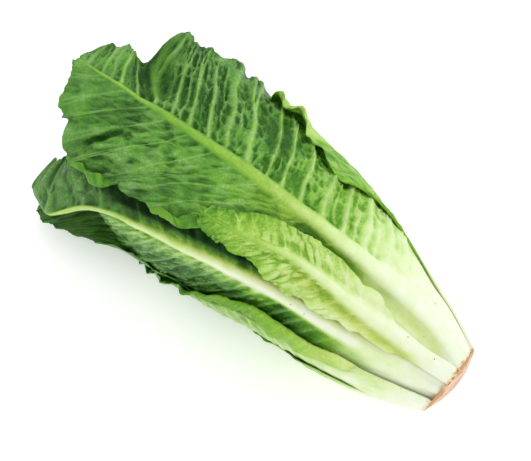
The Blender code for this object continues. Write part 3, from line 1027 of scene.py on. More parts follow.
@dataclass(frozen=True)
class LeafTissue:
    """Shared shader effect: the colour, gloss and fine surface of lettuce tissue, with painted
    glints on crests, painted shade in hollows, painted shadow in clefts and a grey bloom that is
    partly painted sheen.

    The mottles, grains, net, glints, blisters, specks and edge grains are patterns, given as
    how many of them there are in a metre.
    """

    name: str = "leaf_tissue"
    inputs: tuple[tuple[str, float], ...] = (
        ("Green", 0.5), ("Olive", 0.0), ("Frost And Sheen", 0.2), ("Vein", 0.0), ("Pit", 0.0),
        ("Crest", 0.0), ("Gap", 0.0), ("Depth", 1.0), ("Inner", 0.0), ("Cut Distance", 1.0),
        ("Speckle", 0.5), ("Gloss", 0.38))
    outputs: tuple[tuple[str, str], ...] = (
        ("Colour", "NodeSocketColor"), ("Roughness", "NodeSocketFloat"),
        ("Height", "NodeSocketFloat"))
    mottles: float = 150.0
    grains: float = 850.0
    net: float = 620.0
    glints: float = 700.0
    blisters: float = 300.0
    specks: float = 95.0
    edge_grains: float = 420.0
    # The bloom colour is a grey bloom and partly painted sheen, the glint colour a painted
    # highlight, and the two shades a painted shade in hollows and a painted shadow in clefts.
    bloom_and_sheen_colour: Colour = (0.40, 0.49, 0.34)
    glint_colour: Colour = (0.62, 0.72, 0.52)
    painted_hollow_shade: Colour = (0.20, 0.46, 0.08)
    painted_cleft_shadow: Colour = (0.04, 0.20, 0.02)
    speck_colour: Colour = (0.13, 0.11, 0.05)
    tan: Colour = (0.66, 0.47, 0.24)
    brown: Colour = (0.33, 0.16, 0.07)

    def build(self) -> bpy.types.NodeTree:
        """Make the node group; its outputs are Colour, Roughness and Height.

        Returns:
            The group's tree.
        """
        tree = bpy.data.node_groups.new(self.name, "ShaderNodeTree")
        tree.interface.new_socket("Place", in_out="INPUT", socket_type="NodeSocketVector")
        for key, value in self.inputs:
            made = tree.interface.new_socket(key, in_out="INPUT", socket_type="NodeSocketFloat")
            made.default_value = value
        for key, kind in self.outputs:
            tree.interface.new_socket(key, in_out="OUTPUT", socket_type=kind)
        kit = NodeKit(tree)
        given = kit.add("NodeGroupInput").outputs
        made = kit.add("NodeGroupOutput").inputs
        place = given["Place"]
        mottle = kit.noise(place, self.mottles, 3.0, 0.55)
        speckle = kit.noise(place, self.grains)
        net = kit.between(kit.spots(place, self.net, "DISTANCE_TO_EDGE"), 0.0, 0.14)
        leafy = kit.between(given["Green"], 0.08, 0.4)
        colour = self.blade_colour(kit, given, leafy, mottle, speckle, net)
        # Painted sheen and glints, then painted shade in the hollows and painted shadow in the
        # clefts.
        colour = self.bloom_and_sheen(kit, given, leafy, mottle, colour)
        colour = self.shade(kit, given, colour)
        kit.feed(made["Colour"], self.foot_marks(kit, given, colour))
        rough = kit.scaled(kit.less(mottle, 0.5), 0.3, given["Gloss"])
        rough = kit.scaled(given["Gap"], 0.5, rough)
        kit.feed(made["Roughness"], kit.scaled(given["Pit"], 0.1, rough))
        height = kit.scaled(net, 0.25, kit.times(speckle, 0.4))
        height = kit.scaled(kit.spots(place, self.blisters, "SMOOTH_F1"), -1.6, height)
        kit.feed(made["Height"], kit.scaled(given["Vein"], 0.3, kit.times(height, leafy)))
        return tree

    def blade_colour(self, kit: NodeKit, given: bpy.types.NodeOutputs, leafy: bpy.types.NodeSocket,
                     mottle: bpy.types.NodeSocket, speckle: bpy.types.NodeSocket,
                     net: bpy.types.NodeSocket) -> bpy.types.NodeSocket:
        """Greenness, made uneven by mottles, grains and net, read off the two colour ramps.

        Args:
            kit: lays the nodes.
            given: the group's inputs.
            leafy: 0 on white stalk, 1 on green blade.
            mottle: the broad noise.
            speckle: the fine noise.
            net: 0 on the finest veins, 1 beside them.

        Returns:
            The bare tissue's colour.
        """
        tone = kit.scaled(kit.less(mottle, 0.5), 0.22, given["Green"])
        grain = kit.times(kit.less(speckle, 0.5), given["Speckle"], leafy)
        tone = kit.scaled(grain, 0.35, tone)
        tone = kit.scaled(kit.times(kit.less(net, 1.0), leafy), 0.05, tone)
        return kit.blend(given["Olive"], kit.ramp(tone, BLADE_TONES), kit.ramp(tone, OLIVE_TONES))

    def bloom_and_sheen(self, kit: NodeKit, given: bpy.types.NodeOutputs, leafy: bpy.types.NodeSocket,
              mottle: bpy.types.NodeSocket, colour: bpy.types.NodeSocket) -> bpy.types.NodeSocket:
        """Dull grey bloom in patches, partly painted sheen, and small painted glints on the crests,
        on the outer side only.

        Args:
            kit: lays the nodes.
            given: the group's inputs.
            leafy: 0 on white stalk, 1 on green blade.
            mottle: the broad noise.
            colour: the bare tissue's colour.

        Returns:
            The colour with its bloom, painted sheen and painted glints.
        """
        outer = kit.less(1.0, given["Inner"])
        haze = kit.times(outer, given["Frost And Sheen"], leafy, kit.between(mottle, 0.25, 0.7))
        colour = kit.blend(haze, colour, kit.blend(0.5, colour, self.bloom_and_sheen_colour))
        glint = kit.between(kit.noise(given["Place"], self.glints, 2.0, 0.6), 0.52, 0.66)
        glint = kit.times(kit.scaled(given["Crest"], 0.4, 0.08), glint, leafy, outer)
        return kit.blend(glint, colour, kit.blend(0.5, colour, self.glint_colour))

    def shade(self, kit: NodeKit, given: bpy.types.NodeOutputs,
              colour: bpy.types.NodeSocket) -> bpy.types.NodeSocket:
        """Painted shade: deeper, greener colour in the hollows, and painted shadow in the clefts
        between leaves.

        Args:
            kit: lays the nodes.
            given: the group's inputs.
            colour: the colour so far.

        Returns:
            The shaded colour.
        """
        depth = kit.times(given["Pit"], kit.between(given["Green"], 0.0, 0.5), given["Depth"])
        shade = kit.blend(kit.times(depth, 0.6), (1, 1, 1), self.painted_hollow_shade)
        colour = kit.blend(1.0, colour, shade, "MULTIPLY")
        return kit.blend(given["Gap"], colour, kit.blend(1.0, colour, self.painted_cleft_shadow, "MULTIPLY"))

    def foot_marks(self, kit: NodeKit, given: bpy.types.NodeOutputs,
                   colour: bpy.types.NodeSocket) -> bpy.types.NodeSocket:
        """Small dark specks on the white stalks and the tan and brown edge beside the cut.

        Args:
            kit: lays the nodes.
            given: the group's inputs.
            colour: the colour so far.

        Returns:
            The marked colour.
        """
        specks = kit.between(kit.spots(given["Place"], self.specks), 0.055, 0.03)
        specks = kit.times(specks, kit.between(given["Green"], 0.2, 0.05))
        colour = kit.blend(specks, colour, self.speck_colour)
        ragged = kit.less(kit.noise(given["Place"], self.edge_grains, 4.0), 0.5)
        edge = kit.scaled(ragged, 0.010, given["Cut Distance"])
        colour = kit.blend(kit.between(edge, 0.0030, 0.0006), colour, self.tan)
        return kit.blend(kit.between(edge, 0.0004, -0.0003), colour, self.brown)


@dataclass(frozen=True)
class LeafFinish:
    """Finish of one kind of leaf: how speckled, glossy and see-through, and how strong the painted
    shade in its hollows.
    """

    name: str
    speckle: float = 0.5
    gloss: float = 0.38
    glow: float = 0.10
    glow_depth: float = 0.002
    glow_colour: Colour = (0.7, 1.0, 0.25)
    shine: float = 0.2
    bump: float = 0.7
    bump_height: float = 0.0007
    depth: float = 1.0
    masks: tuple[tuple[str, str], ...] = (
        ("Green", "green"), ("Olive", "olive"), ("Frost And Sheen", "frost_and_sheen"), ("Vein", "vein"),
        ("Pit", "pit"), ("Crest", "crest"), ("Gap", "gap"), ("Inner", "inner"),
        ("Cut Distance", "cut"))

    def material(self, tissue: bpy.types.NodeTree) -> bpy.types.Material:
        """The leaf's material, fed by the piece's own attributes.

        Args:
            tissue: the shared leaf tissue group.

        Returns:
            The new material.
        """
        made = bpy.data.materials.new(self.name)
        made.use_nodes = True
        kit = NodeKit(made.node_tree)
        group = kit.add("ShaderNodeGroup", node_tree=tissue)
        kit.feed_all(group, ("Place", kit.here()), ("Speckle", self.speckle),
                     ("Gloss", self.gloss), ("Depth", self.depth),
                     *((key, kit.mask(mask)) for key, mask in self.masks))
        bump = kit.add("ShaderNodeBump")
        kit.feed_all(bump, ("Strength", self.bump), ("Distance", self.bump_height),
                     ("Height", group.outputs["Height"]))
        kit.feed_all(made.node_tree.nodes["Principled BSDF"],
                     ("Base Color", group.outputs["Colour"]),
                     ("Roughness", group.outputs["Roughness"]),
                     ("Normal", bump.outputs["Normal"]),
                     ("Subsurface Weight", self.glow), ("Subsurface Scale", self.glow_depth),
                     ("Subsurface Radius", self.glow_colour), ("Specular IOR Level", self.shine))
        return made


@dataclass(frozen=True)
class StemFinish:
    """The cut stem: a browned, fibrous cut face and pale flesh behind it."""

    name: str = "cut_stem"
    patches: float = 130.0
    strands: float = 900.0
    tones: tuple[tuple[float, Colour], ...] = (
        (0.0, (0.62, 0.27, 0.19)), (0.5, (0.64, 0.31, 0.20)), (0.78, (0.80, 0.60, 0.38)),
        (0.95, (0.50, 0.28, 0.13)))
    strand_colour: Colour = (0.30, 0.14, 0.07)
    flesh: Colour = (0.86, 0.90, 0.72)
    browned: Span = (0.0008, 0.004)
    bump: float = 0.6
    bump_height: float = 0.0006
    glow: float = 0.08
    glow_depth: float = 0.002

    def material(self) -> bpy.types.Material:
        """Pink-brown at the middle of the cut, tan and brown to the rim, with darker strands.

        Returns:
            The new material.
        """
        made = bpy.data.materials.new(self.name)
        made.use_nodes = True
        kit = NodeKit(made.node_tree)
        place = kit.here()
        patch = kit.noise(place, self.patches, 4.0, 0.6)
        strand = kit.noise(place, self.strands)
        tones = kit.ramp(kit.scaled(kit.less(patch, 0.5), 0.9, kit.mask("rim")), self.tones)
        dark = kit.times(kit.between(strand, 0.62, 0.75), 0.5)
        tones = kit.blend(dark, tones, self.strand_colour)
        colour = kit.blend(kit.between(kit.mask("cut"), *self.browned), tones, self.flesh)
        bump = kit.add("ShaderNodeBump")
        kit.feed_all(bump, ("Strength", self.bump), ("Distance", self.bump_height),
                     ("Height", kit.scaled(strand, 0.5, patch)))
        kit.feed_all(made.node_tree.nodes["Principled BSDF"], ("Base Color", colour),
                     ("Normal", bump.outputs["Normal"]),
                     ("Roughness", kit.scaled(patch, 0.3, 0.45)),
                     ("Subsurface Weight", self.glow), ("Subsurface Scale", self.glow_depth))
        return made


# ---------------------------------------------------------------- the leaves of this head

OLD_LEAVES: tuple[LeafPlan, ...] = (
    LeafPlan("leaf_under", Slot.OLD_LEAF, 0, 205,
             angle=((0, 160), (1, 158)),
             low=((0, 15), (0.1, 28), (0.17, 37), (0.25, 48), (0.34, 51), (0.42, 45), (0.5, 37),
                  (0.8, 30), (1, 20)),
             high=((0, 13), (0.15, 28), (0.38, 42), (0.6, 46), (0.8, 42), (1, 28)),
             green=((0, 0.0), (0.2, 0.06), (0.35, 0.25), (0.5, 0.5), (0.75, 0.75), (1, 0.85)),
             tone=(Stroke((42, -45), (72, -49), 0.14, 6, 6),),
             frost_and_sheen=0.5, seed=3, fineness=1.3),
    LeafPlan("leaf_crown", Slot.PALE_LEAF, 0, 164,
             angle=((0, 15), (0.21, 16), (0.32, 18.5), (0.42, 20.9), (0.53, 22.6), (0.63, 24.5),
                    (0.74, 28.2), (0.79, 30), (0.9, 33), (1, 35)),
             low=((0, 5), (0.06, 3.4), (0.1, 2.1), (0.15, 1.4), (0.19, 1.9), (0.256, 3.1),
                  (0.29, 6.2), (0.317, 7.4), (0.335, 9.5), (0.36, 11.3), (0.378, 10.3),
                  (0.42, 9.4), (0.46, 10.3), (0.51, 11.4), (0.57, 11.7), (0.63, 11.5),
                  (0.68, 13.2), (0.74, 13.9), (0.8, 13.9), (0.84, 12.7), (0.88, 10.1),
                  (0.95, 9.6), (0.975, 8), (1, 4)),
             high=((0, 1), (0.1, 3.4), (0.15, 4.6), (0.19, 5.9), (0.23, 8.6), (0.32, 8.1),
                   (0.36, 10.7), (0.4, 10.7), (0.445, 13.7), (0.51, 15.7), (0.55, 15.8),
                   (0.59, 17.2), (0.63, 15.4), (0.68, 16.4), (0.72, 11.7), (0.76, 10.3),
                   (0.8, 11), (0.84, 10.5), (0.88, 9.9), (0.95, 9), (0.975, 8), (1, 4)),
             green=((0, 0.0), (0.25, 0.07), (0.4, 0.14), (0.55, 0.23), (0.8, 0.48), (1, 0.74)),
             rib_green=((0, 0), (0.35, 0.07), (0.55, 0.17), (0.75, 0.36), (1, 0.65)),
             rib_height=((0, 1.0), (0.15, 2.6), (0.4, 2.8), (0.7, 1.8), (1, 0.4)),
             creases=(Stroke((25, 6), (110, 4.5), -0.9, 2.6, 2.2),
                      Stroke((25, -6), (110, -4.5), -0.7, 2.2, 2.6)),
             low_veins=Veins(spacing=10, height=0.5, width=0.8, trough=0.3, minor=0.2, cell=4.6,
                             pucker=1.3, outward=0.8, fine=0.5, stretch=1.4),
             high_veins=Veins(spacing=10, height=0.5, width=0.8, trough=0.3, minor=0.2, cell=4.2,
                              pucker=1.3, outward=0.8, fine=0.5, stretch=1.4),
             vein_rise=(0.07, 0.08),
             rib_width=((0, 7), (0.3, 4.2), (0.6, 2.6), (0.85, 1.4), (1, 0.7)),
             # Painted shade: the olive stroke and the darker tone stroke along the groove beside
             # the midrib stand in for its shaded flank.
             olive=(Stroke((22, 7), (95, 7), 0.9, 4, 4),),
             tone=(Stroke((30, 7), (80, 7), 0.2, 4, 3),),
             frost_and_sheen=0.0, yellow=0.25, smooth_foot=(15, 60), ruffle=1.6, lobe=1.2, tooth=0.7,
             seed=5, fineness=0.6),
    LeafPlan("leaf_back", Slot.OLD_LEAF, 1, 240,
             angle=((0, -100), (0.3, -95), (1, -96)),
             low=((0, 13), (0.2, 32), (0.4, 48), (0.6, 54), (0.8, 50), (1, 30)),
             high=((0, 9), (0.25, 14), (0.34, 24), (0.38, 31), (0.4, 36), (0.44, 46), (0.48, 59),
                   (0.52, 58), (0.56, 54), (0.6, 48.5), (0.64, 45), (0.67, 43), (0.7, 43),
                   (0.72, 44), (0.76, 46), (0.785, 36), (0.8, 24), (0.85, 18), (1, 10)),
             high_flare=((0, 0), (0.64, 0), (0.67, 5), (0.695, 9.5), (0.718, 4), (0.732, 2.5),
                         (0.75, 7), (0.765, 8), (0.785, 4), (0.81, 0), (1, 0)),
             rib_lift=((0, 0), (0.04, -1.2), (0.12, -2.4), (0.34, -2.6), (0.6, -2.4), (0.75, 0),
                       (1, 0)),
             # Painted light: this tone stroke makes the lobes paler, standing in for light shining
             # through them.
             tone=(Stroke((150, 42), (188, 38), -0.18, 10, 14),),
             green=((0, 0.0), (0.15, 0.05), (0.3, 0.3), (0.4, 0.44), (0.5, 0.52), (0.75, 0.5),
                    (1, 0.6)),
             pale_veins=(0.06, 0.06),
             high_veins=Veins(pucker=1.2, outward=0.8, cell=4.5),
             frost_and_sheen=0.05, tooth=1.3, seed=7),
    LeafPlan("leaf_near", Slot.OLD_LEAF, 1, 198,
             angle=((0, 108), (0.3, 121), (0.6, 125), (1, 125)),
             low=((0, 15), (0.04, 19), (0.08, 22.6), (0.16, 30.2), (0.24, 38), (0.32, 42.7),
                  (0.4, 43.3), (0.48, 48), (0.56, 51.6), (0.6, 52.4), (0.68, 47.8), (0.72, 43.5),
                  (0.76, 37.5), (0.82, 28), (0.9, 22), (1, 12)),
             high=((0, 12), (0.2, 28), (0.4, 42), (0.6, 46), (0.8, 42), (1, 20)),
             low_roll=((0, 0), (0.2, 0), (0.3, 6), (0.45, 9), (0.6, 6), (0.76, 4), (0.82, 0),
                       (1, 0)),
             roll_pale=0.0, roll_olive=0.35, tooth=1.8,
             # Painted shade: the first olive stroke, in the hollow near the foot. Painted light:
             # the second tone stroke and the bloom stroke lighten the outer strip below the rolled
             # margin. Painted shadow: the gap strokes, just under the roll's edge.
             olive=(Stroke((60, -46), (30, -31), 0.3, 4, 4),
                    Stroke((52, -41), (140, -42), 0.3, 4, 6)),
             tone=(Stroke((52, -41), (140, -42), -0.08, 4, 5),
                   Stroke((45, -22), (150, -25), -0.2, 9, 10)),
             bloom_and_sheen=(Stroke((45, -22), (150, -25), 0.8, 10, 11),),
             painted_shadows=(Stroke((50, -35), (89, -37), 0.75, 2.5, 1.2, 4),
                   Stroke((89, -37), (118, -46), 0.75, 2.5, 1.2, 4),
                   Stroke((118, -46), (150, -33), 0.75, 2.5, 1.2, 4)),
             green=((0, 0.0), (0.15, 0.06), (0.25, 0.22), (0.35, 0.36), (0.5, 0.5), (0.75, 0.66),
                    (1, 0.78)),
             low_veins=Veins(spacing=8, height=0.6, trough=0.4, pucker=1.3, outward=0.8, cell=3.6),
             frost_and_sheen=0.9, seed=11),
    LeafPlan("leaf_long", Slot.OLD_LEAF, 2, 293,
             angle=((0, -21), (0.1, -19), (0.15, -16), (0.2, -11.5), (0.25, -6.8), (0.3, -2.8),
                    (0.36, -0.3), (0.45, 1.3), (0.55, 1.9), (0.65, 3.2), (0.75, 4.6), (0.85, 5.2),
                    (1, 6)),
             rib_width=((0, 13), (0.1, 8), (0.2, 6), (0.34, 4.8), (0.5, 3.9), (0.7, 2.7),
                        (0.8, 1.7), (0.9, 1), (1, 0.6)),
             low=((0, 17), (0.1, 31), (0.2, 47), (0.35, 64), (0.5, 70.4), (0.62, 72.3),
                  (0.66, 69.2), (0.68, 62.1), (0.72, 60.4), (0.74, 52.1), (0.77, 47.4),
                  (0.8, 48.8), (0.82, 51.8), (0.864, 55), (0.871, 50), (0.877, 40), (0.884, 31),
                  (0.9, 30), (0.92, 33.3), (0.93, 38.7), (0.94, 45), (0.98, 50), (1, 40)),
             high=((0, 15), (0.1, 21), (0.2, 25.4), (0.35, 30.5), (0.5, 30.6), (0.56, 31.7),
                   (0.58, 36.7), (0.6, 44.2), (0.62, 45.2), (0.66, 42.4), (0.7, 45.4),
                   (0.74, 42.4), (0.76, 44.8), (0.78, 49), (0.8, 53.8), (0.82, 55.8),
                   (0.84, 54.4), (0.88, 57.3), (0.9, 51.1), (0.92, 40.8), (0.94, 45),
                   (0.96, 46), (0.98, 28), (1, 8)),
             low_flare=((0, 0), (0.42, -0.8), (0.5, -0.5), (0.6, 1.5), (0.68, 7), (0.78, 13),
                        (0.868, 13), (0.884, 3), (0.92, -3), (0.96, -3), (1, 0)),
             high_flare=((0, 0), (0.45, 1), (0.6, 6), (0.75, 8), (0.88, 8), (0.93, 4), (1, 2)),
             high_roll=((0, 0), (0.585, 0), (0.6, 4), (0.625, 5), (0.645, 0), (0.765, 0),
                        (0.785, 4), (0.82, 6), (0.845, 3), (0.86, 0), (1, 0)),
             folds=(Stroke((234, -11), (256, -28), -10, 11, 7, 5),),
             lobe=0.8, crumple=2.1, smooth_foot=(32, 98),
             green=((0, 0.0), (0.2, 0.08), (0.29, 0.24), (0.36, 0.42), (0.43, 0.58), (0.55, 0.74),
                    (0.7, 0.82), (0.8, 0.86), (1, 0.82)),
             rib_green=((0, 0), (0.2, 0.05), (0.31, 0.17), (0.43, 0.36), (0.53, 0.48),
                        (0.75, 0.58), (0.82, 0.5), (1, 0.6)),
             # Painted shade: the olive and tone strokes along the groove between the midrib and the
             # leaf lying over it.
             olive=(Stroke((18, 9), (140, 8), 0.9, 7, 4),),
             tone=(Stroke((18, 9), (100, 8), 0.12, 7, 4),),
             creases=(Stroke((12, 8), (110, 8), -1.6, 5, 3.5),
                      Stroke((249, 37), (243, 31), -2.5, 1.2, 1.2, 2),
                      Stroke((243, 31), (236, 23), -3.0, 1.6, 1.6, 3)),
             low_veins=Veins(spacing=13.5, height=1.3, width=1.2, trough=1.6, minor=1.0, cell=3.6,
                             pucker=1.4, outward=0.35, fine=0.7, fork=0.14, stretch=2.0),
             high_veins=Veins(spacing=18, height=0.5, width=0.6, trough=0.4, minor=0.1, cell=7.0,
                              pucker=1.6, outward=0.6, fine=0.5, fork=0.1, stretch=0.9),
             smooth_tip=(0.78, 0.92), tooth=0.5, pale_veins=(0.24, 0.16), roll_pale=0.15,
             # Painted shadow: darkens the valley below the notch at the tip.
             painted_shadows=(Stroke((236, -16), (262, -34), 0.6, 9, 13, 6),),
             vein_rise=(0.13, 0.22), seed=13, fineness=0.95),
    LeafPlan("leaf_floor", Slot.OLD_LEAF, 2, 290,
             angle=((0, 160), (0.6, 156), (1, 150)),
             low=((0, 12), (0.2, 28), (0.4, 42), (0.5, 48), (0.6, 53), (0.7, 54), (0.8, 50),
                  (0.93, 46), (1, 26)),
             high=((0, 12), (0.2, 28), (0.4, 42), (0.6, 48), (0.8, 46), (0.93, 38), (1, 22)),
             low_flare=((0, 0), (0.67, 0), (0.8, 16), (0.92, 29), (1, 30)),
             green=((0, 0.0), (0.2, 0.06), (0.35, 0.3), (0.5, 0.62), (0.75, 0.85), (1, 0.92)),
             high_veins=Veins(pucker=1.4, trough=0.9), low_veins=Veins(pucker=1.4, trough=0.9),
             frost_and_sheen=0.5, pale_veins=(0.1, 0.1), lobe=0.6, tooth=0.25, ruffle=0.6, seed=17),
    LeafPlan("leaf_keeled", Slot.OLD_LEAF, 3, 278,
             angle=((0, 38), (0.05, 39.5), (0.15, 41), (0.2, 42.9), (0.25, 45.9), (0.3, 49.3),
                    (0.4, 53.3), (0.5, 58.5), (0.6, 64.4), (0.65, 66.8), (0.7, 70), (0.75, 72.8),
                    (0.8, 77.9), (0.85, 85.2), (0.9, 96), (0.95, 104), (1, 105)),
             low=((0, 13), (0.2, 28), (0.4, 42), (0.6, 45), (0.8, 42), (0.88, 31), (0.92, 26),
                  (0.95, 21), (0.975, 15), (1, 6)),
             rib_width=((0, 8), (0.17, 7), (0.34, 5), (0.5, 4), (0.7, 2.4), (0.8, 1.4), (1, 0.6)),
             high=((0, 0.8), (0.04, 1.8), (0.06, 3.2), (0.08, 4.4), (0.12, 5.6), (0.14, 8.8),
                   (0.16, 10.6), (0.18, 12.9), (0.2, 17.2), (0.25, 29.7), (0.3, 37),
                   (0.36, 41), (0.55, 42), (0.7, 38.4), (0.82, 28.4), (1, 15)),
             rib_lift=((0, 0), (0.6, 0), (0.74, 2), (0.82, 7), (0.88, 17), (0.94, 25), (1, 23)),
             keel=((0, 2), (0.86, 2), (0.94, 0.8), (1, 0.45)), tip_half_width=8,
             low_flare=((0, 0), (0.7, 0), (0.85, -4), (0.93, -4), (1, 1)),
             tuck=((0, 0), (0.79, 0), (0.9, 1), (1, 1)),
             green=((0, 0.0), (0.14, 0.06), (0.2, 0.3), (0.3, 0.74), (0.42, 0.92), (0.6, 0.96),
                    (0.8, 0.92), (1, 0.9)),
             rib_green=((0, 0), (0.17, 0.12), (0.31, 0.18), (0.47, 0.24), (0.62, 0.36),
                        (0.7, 0.36), (0.8, 0.25), (0.92, 0.35), (1, 0.6)),
             # Painted shade: the olive stroke on the midrib's flank under the leaves above. Painted
             # light: the last tone stroke and the first bloom stroke, on the pale strip beside the
             # midrib that faces the light. Painted shadow: the gap strokes, under the margins of
             # the leaves above.
             olive=(Stroke((40, -5.2), (205, -4.6), 1.0, 2.4, 4.5),),
             tone=(Stroke((60, 1.2), (195, 1.2), -0.2, 2.5, 2.5),
                   Stroke((85, -4), (190, -3.8), -0.25, 2, 2.5),
                   Stroke((110, 5.5), (215, 7), -0.46, 5, 3.5)),
             painted_shadows=(Stroke((70, -10.5), (157, -11), 1.3, 3.4, 16),
                   Stroke((157, -11), (196, -10), 1.3, 3.0, 16),
                   Stroke((196, -9), (214, -8.5), 1.0, 2.2, 14),
                   Stroke((214, -10), (238, -17), 1.0, 3.5, 14)),
             bloom_and_sheen=(Stroke((130, 7), (225, 8), 1.0, 6, 4),
                    Stroke((240, -10), (275, -8), 0.2, 14, 14)),
             folds=(Stroke((185, -29), (225, -27), -9, 12, 12, 12),),
             low_veins=Veins(spacing=15, height=0.5, width=0.8, trough=0.9, minor=0.1, pucker=1.6,
                             outward=0.6, cell=7, fork=0.1, stretch=1.1),
             high_veins=Veins(spacing=10, height=0.8, trough=0.5, pucker=1.1, outward=0.8, cell=3.4,
                              fine=0.6, stretch=1.2),
             frost_and_sheen=0.08, pale_veins=(0.04, 0.06), vein_rise=(0.14, 0.14),
             frilled=(0.02, 0.06), seed=19),
)


@dataclass(frozen=True)
class YoungLeaves:
    """The leaves inside the head, one layer each, set round the axis by the golden angle."""

    count: int = 17
    first_layer: int = 4
    first_angle: float = -75.0
    golden_angle: float = 137.5
    longest: float = 236.0
    shortest: float = 150.0
    shortening: float = 1.3
    middle: float = 140.0
    widest_half: float = 50.0
    least_half: float = 12.0
    half_to_radius: float = 0.85
    width_shares: Points = ((0.25, 0.62), (0.5, 0.95), (0.75, 1), (0.92, 0.85), (1, 0.5))
    foot_half: Span = (13.0, 9.0)
    tip_green: Span = (0.74, 0.24)
    veins: Veins = Veins(trough=0.3, pucker=0.6)
    first_seed: int = 31

    def plans(self) -> list[LeafPlan]:
        """Plan the young leaves from the outermost in: shorter, narrower and paler.

        Returns:
            A plan for each leaf.
        """
        made = []
        for number in range(self.count):
            age = number / (self.count - 1)
            layer = self.first_layer + number
            middle = float(ENVELOPE.radius(layer, np.array(self.middle)))
            half = min(self.widest_half, self.least_half + self.half_to_radius * middle)
            foot = self.foot_half[0] + (self.foot_half[1] - self.foot_half[0]) * age
            width = ((0, foot), *((share, part * half) for share, part in self.width_shares))
            angle = self.first_angle + self.golden_angle * number
            reach = self.longest + (self.shortest - self.longest) * age ** self.shortening
            top = self.tip_green[0] + (self.tip_green[1] - self.tip_green[0]) * age
            made.append(LeafPlan(f"leaf_young_{number + 1:02d}", Slot.YOUNG_LEAF, layer, reach,
                                 angle=((0, angle), (1, angle)), low=width, high=width,
                                 green=((0, 0), (0.3, 0.05), (0.6, 0.6 * top), (1, top)),
                                 low_veins=self.veins, high_veins=self.veins, ruffle=0.3,
                                 lobe=1.5, crumple=0.1, seed=self.first_seed + number,
                                 fineness=2.2, stalk=0.9))
        return made


@dataclass(frozen=True)
class StemCore:
    """The stem: a tapering solid in the leaf bases, widening to the cut face at the foot."""

    sides: int = 96
    rings: int = 60
    face_rings: int = 16
    face_middle: float = 0.04
    crown: float = 5.0
    collar: float = 1.0
    collar_radius: float = 22.4
    collar_profile: Points = ((0.45, 1.0), (0.9, 0.985), (1.0, 0.8))
    dent: float = 0.25
    dent_size: float = 4.0
    tip_share: float = 0.05
    tip_length: float = 0.6

    def profile(self, turn: Array) -> tuple[Array, Array]:
        """Rings from the middle of the cut face out to its rim, then up the core to its tip.

        The face domes by crown (1 - share^2), with shallow dents; rings of the face and collar
        are made uneven by noise round the stem.

        Args:
            turn: angles round the stem, radians, in one row.

        Returns:
            Radius and distance from the cut of each ring's points, mm.
        """
        step = np.linspace(self.face_middle, 1.0, self.face_rings)[:, None]
        wobble = 1 + 0.012 * noise(turn * 4, 0.5, 3) + 0.02 * noise(turn * 1.6, 0.5, 4)
        face_radius = self.collar_radius * step * wobble
        dent = self.dent * rough_noise(face_radius * np.cos(turn) / self.dent_size,
                                       face_radius * np.sin(turn) / self.dent_size, 6)
        face_along = -self.crown * (1 - step ** 2) + dent * (1 - step ** 6)
        collar = np.array(self.collar_profile)
        level = np.ones_like(turn)
        collar_radius = collar[:, 1:] * self.collar_radius * wobble
        collar_along = collar[:, :1] * self.collar * level
        along = np.linspace(self.collar, ENVELOPE.core_length, self.rings)[:, None]
        radius = curve(ENVELOPE.core, along) * level
        along = along * level
        radius = np.concatenate((face_radius, collar_radius, radius, radius[-1:] * self.tip_share))
        along = np.concatenate((face_along, collar_along, along, along[-1:] + self.tip_length))
        return radius, along

    def faces(self, rows: int) -> Array:
        """Quads between the rings, and the two ends closed by strips of quads.

        Args:
            rows: number of rings.

        Returns:
            (n, 4) vertex numbers, ring by ring.
        """
        index = np.arange(rows * self.sides).reshape(rows, self.sides)
        after = np.roll(index, -1, axis=1)
        quads = np.stack((index[:-1], index[1:], after[1:], after[:-1]), -1).reshape(-1, 4)
        k = np.arange(self.sides // 2 - 1)
        caps = [np.stack((ring[k], ring[k + 1], ring[self.sides - 2 - k],
                          ring[self.sides - 1 - k]), -1) for ring in (index[0], index[-1])]
        return np.concatenate((quads, caps[0], caps[1][:, ::-1]))

    def build(self, material: bpy.types.Material) -> bpy.types.Object:
        """Make the core's object and dress it.

        Args:
            material: finish of the whole piece.

        Returns:
            The finished object, riding on the body and standing for the core's CAD node.
        """
        turn = np.linspace(0.0, 2 * math.pi, self.sides, endpoint=False)[None, :]
        radius, along = self.profile(turn)
        angle = np.broadcast_to(turn, radius.shape)
        points = ENVELOPE.place(along, angle, radius, None).reshape(-1, 3) * MM
        masks = {"rim": (radius / self.collar_radius).ravel(),
                 "cut": np.maximum(along, 0.0).ravel() * MM}
        piece = add_mesh("stem_core", points, self.faces(len(radius)), masks)
        return dress(piece, "core", material)


@dataclass(frozen=True)
class Lamp:
    """A square soft light that faces the head; metres and watts."""

    name: str
    place: tuple[float, float, float]
    size: float
    watts: float

    def build(self) -> None:
        """Add the light to the scene."""
        light = bpy.data.lights.new(self.name, "AREA")
        light.size = self.size
        light.energy = self.watts
        lamp = bpy.data.objects.new(self.name, light)
        lamp.location = self.place
        lamp.rotation_euler = (-Vector(self.place)).to_track_quat("-Z", "Y").to_euler()
        bpy.context.scene.collection.objects.link(lamp)


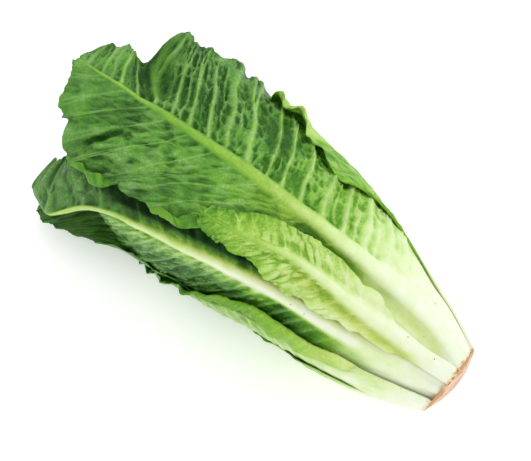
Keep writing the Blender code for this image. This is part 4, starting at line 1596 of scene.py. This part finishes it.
@dataclass(frozen=True)
class Studio:
    """Floor, soft light and camera; metres and degrees."""

    azimuth: float = 40.0
    elevation: float = 65.0
    distance: float = 0.773
    lens: float = 85.0
    nearest: float = 0.01
    target: tuple[float, float, float] = (0.00256, 0.0033, 0.04255)
    sky: float = 0.95
    lamps: tuple[Lamp, ...] = (Lamp("key", (0.35, 1.0, 1.25), 0.6, 7.0),
                               Lamp("fill", (-0.5, -0.9, 0.9), 1.2, 3.5))
    floor_reach: float = 3.0
    floor_tone: float = 0.98
    floor_glow: float = 0.18
    floor_roughness: float = 0.9

    def floor(self) -> None:
        """A plain pale floor."""
        corners = np.array(((-1, -1, 0), (1, -1, 0), (1, 1, 0), (-1, 1, 0))) * self.floor_reach
        floor = add_mesh("floor", corners, np.array([[0, 1, 2, 3]]), {})
        material = bpy.data.materials.new("pale_floor")
        material.use_nodes = True
        NodeKit(material.node_tree).feed_all(
            material.node_tree.nodes["Principled BSDF"],
            ("Base Color", (self.floor_tone,) * 3), ("Emission Color", (1.0, 1.0, 1.0)),
            ("Emission Strength", self.floor_glow), ("Roughness", self.floor_roughness))
        floor.data.materials.append(material)

    def lights(self) -> None:
        """A bright even sky, a large soft key from the far side and a weak fill."""
        world = bpy.data.worlds.new("studio")
        bpy.context.scene.world = world
        world.use_nodes = True
        NodeKit(world.node_tree).feed_all(world.node_tree.nodes["Background"],
                                          ("Color", (1.0, 1.0, 1.0)), ("Strength", self.sky))
        for lamp in self.lamps:
            lamp.build()

    def camera(self) -> None:
        """The camera, looking down on the head from the foot's near side."""
        a, e = math.radians(self.azimuth), math.radians(self.elevation)
        back = Vector((math.sin(a) * math.cos(e), -math.cos(a) * math.cos(e), math.sin(e)))
        camera = bpy.data.objects.new("camera", bpy.data.cameras.new("camera"))
        camera.data.lens = self.lens
        camera.data.clip_start = self.nearest
        camera.location = Vector(self.target) + back * self.distance
        camera.rotation_euler = back.to_track_quat("Z", "Y").to_euler()
        bpy.context.scene.collection.objects.link(camera)
        bpy.context.scene.camera = camera


def write_sizes() -> None:
    """Update the view layer so that every placement is current.
    """
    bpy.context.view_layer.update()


def main() -> None:
    """Build the stage, the core and the leaves in order, then update the view layer."""
    logging.basicConfig(level=logging.INFO, format="%(message)s")
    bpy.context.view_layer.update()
    bpy.context.scene.view_settings.view_transform = "Standard"
    studio = Studio()
    studio.floor()
    studio.lights()
    studio.camera()
    tissue = LeafTissue().build()
    finishes = {
        Slot.OLD_LEAF: LeafFinish("old_leaf").material(tissue),
        Slot.PALE_LEAF: LeafFinish("pale_leaf", speckle=0.7, glow=0.16, depth=0.4).material(tissue),
        Slot.YOUNG_LEAF: LeafFinish("young_leaf", glow=0.16).material(tissue)}
    core = StemCore().build(StemFinish().material())
    LOG.info("%s: %d faces", core.name, len(core.data.polygons))
    for plan in (*OLD_LEAVES, *YoungLeaves().plans()):
        piece = Leaf(plan).build(finishes[plan.slot])
        LOG.info("%s: %d faces", piece.name, len(piece.data.polygons))
    write_sizes()


if __name__ == "__main__":
    main()
